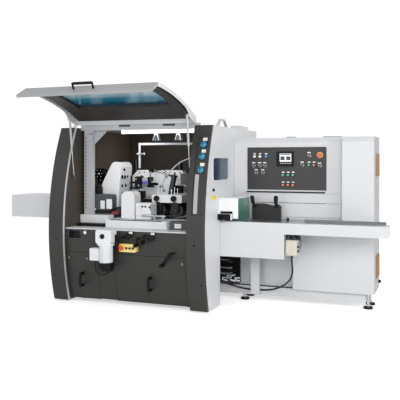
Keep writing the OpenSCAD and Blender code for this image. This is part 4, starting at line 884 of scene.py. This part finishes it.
# %% Fittings of the feed beam
BEAM_Y = 760.0
ARMS = [(602, 1180, 40, 16, 600), (602, 1120, 40, 16, 600), (770, 1190, 20, 60, 640),
        (794, 1296, 30, 20, 640), (657, 1190, 36, 70, 620), (695, 1052, 50, 50, 600),
        (764, 1180, 34, 110, 680), (1108, 1113, 60, 60, 650)]
BLOCKS = [
    ((657, 620, 1178), 50, 137, 60, 8, 5), ((695, 600, 1052), 80, 78, 60, 8, 5),
    ((764, 680, 1217), 44, 44, 60, 6, 4), ((764, 680, 1142), 60, 28, 60, 6, 4),
    ((1108, 650, 1113), 78, 84, 50, 5, 3), ((770, 640, 1190), 26, 100, 40, 5, 3),
    ((794, 640, 1308), 44, 30, 50, 6, 4), ((602, 600, 1180), 90, 20, 30, 5, 3),
    ((602, 600, 1120), 90, 20, 30, 5, 3),
]
CAPS = [(560, 1060, 20), (610, 1230, 22), (900, 1240, 16), (1060, 1230, 18), (845, 1130, 22), (880, 1090, 15)]
arms = [plate((x, BEAM_Y, z), w, h, BEAM_Y - y, corner=6, bevel=2) for x, z, w, h, y in ARMS]
put("pressure_arms", arms, white_coat, "feed_carriers")
blocks = plates(BLOCKS)
blocks += [turned(dome(r, 16), (x, BEAM_Y, z)) for x, z, r in CAPS]
blocks += [turned(ribbed(15, 86, 5, 2), (788, 600, 1166), RIGHT),
           turned(ribbed(12, 150, 9, 2), (585, 560, 1105), UP),
           turned(ribbed(12, 130, 8, 2), (620, 590, 1110), UP)]
put("pressure_blocks", blocks, black_plastic, "feed_carriers")
put("solenoid_valve", plates([((724, 680, 1179), 80, 30, 70, 5, 3)]), violet_plastic, "feed_carriers")
print("arms:", len(arms), "blocks, caps and rods:", len(blocks))

# %% [markdown]
# ## Bolts and screws of the feed beam
# Small bright heads catch the light all over the beam. Studs are a stem with a wider nut at its end,
# and heads are low domes in even rows.

# %% Studs and bolts of the feed beam
STUD_Z = 1062
STUDS = [(1075, 500, 40), (1100, 520, 64), (985, 540, 30), (1125, 540, 48)]
HEADS = [(757, 620, 1217), (775, 620, 1217), (690, 560, 1110), (640, 560, 1215), (670, 560, 1150),
         (695, 540, 1075)]
BOLT_ROWS = (1018, 1285)
fittings = domes(9, 9, HEADS, sides=16)
fittings += [turned([(0, 0), (7, 0), (7, 60), (11, 62), (11, 74), (0, 76)], (930, 560, STUD_Z), (0.2, 0, 1)),
             turned([(0, 0), (6, 0), (6, 46), (0, 46)], (900, 540, STUD_Z), (-0.1, 0, 1))]
fittings += [turned([(0, 0), (5, 0), (5, h), (9, h + 2), (9, h + 14), (0, h + 16)], (x, y, STUD_Z),
                    (0.05, 0, 1)) for x, y, h in STUDS]
put("air_fittings", fittings, chrome_plate, "feed_carriers")
bolts = domes(7, 5, [(x, BEAM_Y, z) for x in range(520, 1120, 60) for z in BOLT_ROWS], sides=12)
put("beam_bolts", bolts, dark_steel, "feed_carriers")
put("valve_bracket", plates([((1108, BEAM_Y, 1220), 40, 120, 150, 6, 3)]), white_coat, "feed_carriers")
print("studs and heads:", len(fittings), "bolts:", len(bolts))

# %% [markdown]
# ## Air hoses
# A pale hose rises from the feed gearbox and arches over to the wall. One end moves with the beam and the
# other stays, and the piece rides on no body. Three thin lines stay on the beam.

# %% Air hoses and gearbox knobs
HOSE_PLACES = [
    (960, 480, 1066), (962, 480, 1110), (990, 480, 1190), (1060, 500, 1300), (1150, 520, 1385),
    (1240, 545, 1430), (1330, 560, 1440), (1420, 580, 1420), (1482, 592, 1385),
]
AIR_LINES = 3
KNOB = [(0, 0), (26, 0), (26, 5), (20, 8), (18, 4), (9, 4), (8, 8), (0, 8)]
air_hose = lay_cord("air_hose", HOSE_PLACES, 7.0, None, mid_grey_and_painted_shade_coat)
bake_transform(air_hose)
for k in range(AIR_LINES):
    lay_cord(f"air_line_{k + 1}", [(764, 660, 1238), (776, 630, 1275), (840 + 30 * k, 620, 1300 + 12 * k),
                                   (930 + 30 * k, 640, 1270), (1000 + 20 * k, 700, 1240),
                                   (1010 + 20 * k, 758, 1235)], 3.5, "feed_carriers")
put("gearbox_knobs", [turned(KNOB, (x, 405, 1025)) for x in (945, 1135)], black_rubber, "feed_carriers")
print("thin lines on the beam:", AIR_LINES)

# %% [markdown]
# ## Around the cutters
# Nearly everything else in the working space is a plate with a bevelled rim or a turned knob. They
# are gathered by finish, so that one object holds all bolts of a casting. Pieces on the rising top
# head ride on it, and the rest stay with the machine.

# %% Fittings of the top spindle
FIN_X = 515.0
FIN_KNOBS = [(440, 1243, 27, 34), (500, 1240, 27, 34), (560, 1244, 22, 30), (450, 1150, 20, 26),
             (530, 1150, 20, 26), (470, 1070, 16, 20)]
MOTOR_X, MOTOR_FACE_Y, MOTOR_Z = 205, 530, 1272
BOLT_CIRCLE = 38
knobs = [turned(dome(r, h), (FIN_X, y, z), RIGHT) for y, z, r, h in FIN_KNOBS]
knobs += [turned(dome(15, 20), (FIN_X + 24, 470, 1317), RIGHT)]
knobs += [turned(ribbed(56, 110, 6, 4), (MOTOR_X, 640, MOTOR_Z), sides=32)]
knobs += plates([((250, 640, 1195), 170, 62, 70, 8, 4)])
put("top_head_knobs", knobs, black_plastic, "top_head")
ring = [(MOTOR_X + BOLT_CIRCLE * math.cos(k), MOTOR_FACE_Y, MOTOR_Z + BOLT_CIRCLE * math.sin(k))
        for k in np.arange(6) * 1.05]
glints = domes(8, 7, ring, sides=12)
glints += domes(17, 12, [(MOTOR_X, MOTOR_FACE_Y, MOTOR_Z)])
glints += domes(9, 8, [(200, 570, 1200)], sides=12)
put("top_head_bolts", glints, chrome_plate, "top_head")
print("knobs:", len(knobs), "bolts:", len(glints))

# %% [markdown]
# ## Covers, clamps and the rear wall
# The motor cover has pale plates and dark strips, the chip hood its bolts, and the bed a clamp bar. A
# dark flap closes each extraction opening in the lining behind.

# %% Fittings of the motor cover, the bed and the rear wall
BAR = [(0, 0), (10, 0), (12, 3), (12, 250), (10, 256), (0, 256)]
TEE = [(0, 0), (7, 0), (7, 82), (14, 84), (16, 92), (12, 102), (0, 104)]
HOOD_FACE_Y = 250
SPIGOTS_X = (300, 640, 980, 1320)
covers = [((384, 300, 956), 50, 86, 5, 4, 1.5), ((463, 300, 965), 62, 101, 9, 4, 2)]
put("cover_plates", plates(covers), white_coat)
strips = [((342, 300, 886), 290, 26, 14, 3, 2), ((302, 385, 1102), 69, 75, 70, 6, 3),
          ((343, 214, 758), 346, 22, 66, 4, 3)]
put("cover_strips", plates(strips), black_rubber)
heads = [(x, HOOD_FACE_Y, z) for x, z in [(866, 951), (900, 951), (945, 945), (945, 860)]]
squares = [((x, HOOD_FACE_Y, z), 15, 15, 2, 2, 0.5) for x in (822, 843) for z in (928, 949)]
slot = [((956, HOOD_FACE_Y, 940), 7, 66, 2, 3, 0.5)]
put("chip_hood_bolts", domes(11, 7, heads, sides=16) + plates(squares + slot), dark_steel)
clamp = plates([((500, 345, 874), 120, 34, 40, 6, 4)]) + domes(13, 10, [(455, 305, 874)])
put("side_clamp", clamp, clamp_red)
put("hinge_leaves", plates([((x, 232, 1766), 130, 22, 3, 3, 1) for x in (674, 1166)]), motor_coat)
# Painted shadow: a black strip along the bed's top edge, where the gap under the hood lies in shadow.
put("bed_shadow_strip", plates([((860, 120, 822), 560, 8, 3, 2, 0.6)]), black_rubber)
feet = plates([((x, 248, 838), 18, 36, 18, 2, 1) for x in (1010, 1100)])
put("clamp_bar", [turned(BAR, (870, 239, 862), RIGHT)] + feet, turned_steel)
put("tee_fitting", [turned(TEE, (690, 474, 1485), RIGHT)], chrome_plate)
backing = [((221, 244, 1290), 16, 760, 3, 1, 0.5), ((274, 244, 1687), 36, 22, 3, 1, 0.5)]
put("post_backing", plates(backing), black_rubber)
put("spigot_flaps", domes(70, 6, [(x, 1570, 1480) for x in SPIGOTS_X], sides=32), wall_foam)
put("box_plate", plates([((1308, 122, 782), 70, 44, 2.5, 3, 0.8)]), white_plastic)
print("plates and strips:", len(covers) + len(strips), "flaps:", len(SPIGOTS_X))

# %% [markdown]
# ## Infeed side
# Around the entry there are a dark slot behind the stop block, a chrome pull rod and a blank plate.
# The junction box below gets a lid with four screws, clamps on top and a thin lead at its side.

# %% Entry fittings and junction box
PULL = [(1690, 318, 846), (1700, 292, 842), (1745, 288, 846), (1790, 292, 852), (1800, 318, 856)]
BOX_LEAD = [(2422, 402, 560), (2438, 402, 600), (2443, 402, 645), (2436, 405, 695), (2414, 410, 735)]
BOX_X, BOX_Z = 2357, 591
SIDE_GLAND = [(0, 0), (11, 0), (11, 14), (8, 20), (0, 20)]
put("entry_slot", plates([((1728, 320, 892), 134, 62, 2, 4, 0.8)]), black_rubber)
put("entry_pull", [tube(smooth_path(PULL), radius=6.0, sides=10)], chrome_plate)
put("end_plate", plates([((ENCLOSURE_W, 154, 1063), 139, 35, 2, 4, 0.6)], "right"), label_foil)
put("box_lid", plates([((BOX_X, 365, BOX_Z), 88, 128, 4, 8, 1.5)]), cream_plastic)
screws = [(BOX_X + i * 36, 361, BOX_Z + k * 56) for i in (-1, 1) for k in (-1, 1)]
put("box_screws", domes(4, 2.5, screws, sides=12), turned_steel)
clamps = domes(15, 16, [(x, 396, z) for x, z in [(2318, 712), (2350, 690), (2388, 705), (2412, 690)]])
clamps += [turned(SIDE_GLAND, (2404, 402, z), RIGHT) for z in (560, 600)]
put("box_clamps", clamps, black_plastic)
lay_cord("box_lead", BOX_LEAD, 3.0)
print("screws:", len(screws), "clamps:", len(clamps))

# %% [markdown]
# ## Hoses in the base
# In the opening under the table, corrugated conduits come out of the base and sag before they rise
# into the cabinet, with a bundle of thicker hoses behind them. Even steps of the golden ratio spread
# the conduits without a pattern and without chance, so that every run gives the same picture.

# %% Conduits, hose bundle and glands
CONDUITS = 8
GOLDEN = 0.618
CONDUIT_STEP = 29
CONDUIT_PITCH, BUNDLE_PITCH = 8.0, 12.0
BUNDLE_START, BUNDLE_RUN, BUNDLE_SAG, BUNDLE_R = 1457, 232, 16, 19.0
BUNDLE = [(830, 200), (870, 260), (820, 330), (880, 390), (840, 450)]
CABLE_GLAND = [(0, 0), (18, 0), (18, 9), (14, 11), (14, 22), (11, 28), (0, 28)]
t = np.linspace(0, 1, 7)
for k, r in enumerate(np.modf(np.arange(CONDUITS) * GOLDEN)[0]):
    start = np.array([1508, 700 + 66 * r, 230 + CONDUIT_STEP * k - 40 * r])
    end = np.array([1724, 772, 234 + CONDUIT_STEP * k])
    bow = 18 - 36 * r
    sag = 60 + 50 * np.modf(3 * r)[0]
    route = start + t[:, None] * (end - start)
    route[:, 1] += bow * np.sin(np.pi * t)
    route[:, 2] -= sag * t * (1 - t)
    lay_cord(f"conduit_{k + 1}", route, 7.0 + 2.5 * r, pitch=CONDUIT_PITCH)
for k, (y, z) in enumerate(BUNDLE):
    route = np.stack([BUNDLE_START + BUNDLE_RUN * t, np.full(len(t), y), z - BUNDLE_SAG * t * (1 - t)], 1)
    hose = lay_cord(f"bundle_hose_{k + 1}", route, BUNDLE_R, pitch=BUNDLE_PITCH)
    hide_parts("hose_bundle")
glands = [turned(ribbed(12, 54, 4, 2), (1560 + 44 * (k % 4), 690 + 10 * (k % 2), 196 + 17 * (k % 3)),
                 (1, 0.2, 0.35 * (k % 3) - 0.3), 16) for k in range(CONDUITS)]
put("conduit_glands", glands, turned_steel)
put("cable_gland", [turned(CABLE_GLAND, (1484, 680, 180), RIGHT)], black_plastic)
# Painted shade: a black plate where the open bay behind the hoses lies dark.
put("open_bay_painted_shade", plates([((1684, 788, 292), 90, 280, 6, 6, 2)]), black_rubber)
print("conduits:", CONDUITS, "bundled hoses:", len(BUNDLE))

# %% [markdown]
# ## Feet
# Each levelling foot is locked by a hexagon nut. A turned profile with six sides is such a nut.

# %% Nuts of the levelling feet
NUT = [(0, 0), (21, 0), (21, 10), (18, 13), (0, 13)]
FEET = [(240, (220, 1300)), (1410, (220, 1300)), (1792, (740, 930)), (3018, (740, 930))]
nuts = [turned(NUT, (x, y, 30), UP, 6) for x, ys in FEET for y in ys]
put("foot_nuts", nuts, turned_steel)
print("nuts:", len(nuts))

# %% [markdown]
# ## Back
# The wall behind has to come off for belts and motors. Each removable panel is a shallow plate with
# rounded corners, held by quarter-turn latches. Lines this shallow tell the eye how large a bare
# wall is, and the same plate and turned helpers make them.

# %% Rear panels and latches
REAR_Y = 1610.0
PANELS_X, PANELS_Z = (290, 830, 1370), 930.0
LATCH_TURN = 0.8
panels = [plate((x, REAR_Y, PANELS_Z), 500.0, 700.0, 3, "back", corner=14, bevel=1) for x in PANELS_X]
put("rear_panels", panels, light_coat)
corners = [(x + i * 215, PANELS_Z + k * 315) for x in PANELS_X for i in (-1, 1) for k in (-1, 0, 1)]
put("rear_latches", domes(15, 6, [(x, REAR_Y + 3, z) for x, z in corners], BACK), black_plastic)
slots = [plate((x, REAR_Y + 8, z), 20, 4, 2, "back", corner=2, bevel=0.5, turn=LATCH_TURN)
         for x, z in corners]
put("latch_slots", slots, chrome_plate)
print("panels:", len(panels), "latches:", len(corners))

# %% [markdown]
# ## Studio ground
# Catalogue pictures stand on white. The floor is pale and keeps a soft shadow; rays that go straight
# to the camera, or to it by way of metal and glass, see the floor and the surroundings as white. All
# other rays meet a dimmer world, so the light on the machine stays plain.

# %% Floor and surroundings
FLOOR_REACH = 40
FLOOR_Z = -0.002
FLOOR_GLOW = 0.56
WORLD_LIGHT = 0.5
WORLD_WHITE = 1.05
WHITE = (1.0, 1.0, 1.0, 1.0)


def seen_rays(tree):
    """One for rays from the camera and those it sends through metal and glass, else zero."""
    rays = add(tree, "LightPath").node.outputs
    seen = add(tree, "Math", {0: rays["Is Camera Ray"], 1: rays["Is Glossy Ray"]}, operation="MAXIMUM")
    return add(tree, "Math", {0: seen, 1: rays["Is Transmission Ray"]}, operation="MAXIMUM")


floor_mesh = bpy.data.meshes.new("studio_floor")
ground = [(FLOOR_REACH * i, FLOOR_REACH * k, FLOOR_Z) for i, k in [(-1, -1), (1, -1), (1, 1), (-1, 1)]]
floor_mesh.from_pydata(ground, [], [(0, 1, 2, 3)])
new_object("studio_floor", floor_mesh)
# Matt paper: no gloss, only the shadow.
floor_paper, tree, _ = new_material("studio_floor_paper", {
    "Base Color": linear("#ededed"), "Roughness": 0.9, "Specular IOR Level": 0.1, "Emission Color": WHITE})
add(tree, "Math", {0: seen_rays(tree), 1: FLOOR_GLOW}, to="Emission Strength", operation="MULTIPLY")
floor_mesh.materials.append(floor_paper)

world = bpy.data.worlds.new("studio")
world.use_nodes = True
scene.world = world
tree = world.node_tree
background = tree.nodes["Background"]
background.inputs["Color"].default_value = WHITE
level = add(tree, "MapRange", {"Value": seen_rays(tree), "To Min": WORLD_LIGHT, "To Max": WORLD_WHITE})
tree.links.new(level, background.inputs["Strength"])
print("floor of", 2 * FLOOR_REACH, "m")

# %% [markdown]
# ## Lamps
# Big soft lamps stand in front, at both sides and behind. Two weak ones inside the machine do what the
# lamp tube does on the real one; they are hidden from the camera and from reflections.


# %% Lamps
def soft_lamp(name, place, target, size_mm, power):
    """A square area lamp of the given edge that looks at a target, both in machine millimetres."""
    lamp = bpy.data.lights.new(name, "AREA")
    lamp.size = size_mm * MM
    lamp.energy = power
    obj = new_object(name, lamp)
    start, end = row(place), row(target)
    direction = (end - start) / np.linalg.norm(end - start)
    obj.location = start
    obj.rotation_euler = (math.acos(-direction[2]), 0.0, math.atan2(direction[1], direction[0]) - math.pi / 2)
    return obj


soft_lamp("key_lamp", (4300, -4700, 3300), (1500, 300, 900), 2400, 120)
soft_lamp("right_lamp", (7200, -1600, 2300), (1800, 400, 900), 2400, 95)
soft_lamp("left_lamp", (-2600, -3600, 3000), (700, 300, 900), 2600, 22)
soft_lamp("front_lamp", (900, -5200, 1500), (900, 400, 1100), 2200, 36)
for lamp in (soft_lamp("tube_lamp", (560, 960, 1700), (480, 1300, 1200), 400, 2.4),
             soft_lamp("tube_front_lamp", (800, 300, 1640), (760, 760, 1120), 300, 1.4)):
    lamp.visible_camera = False
    lamp.visible_glossy = False
soft_lamp("rear_lamp", (1200, 5200, 3600), (1200, 600, 900), 2600, 50)
print("lamps:", len(bpy.data.lights))

# %% [markdown]
# Last, the view layer is updated once more. The dressed machine has to stay inside the box of the
# solids, apart from a few millimetres.

# %% Finish
bpy.context.view_layer.update()
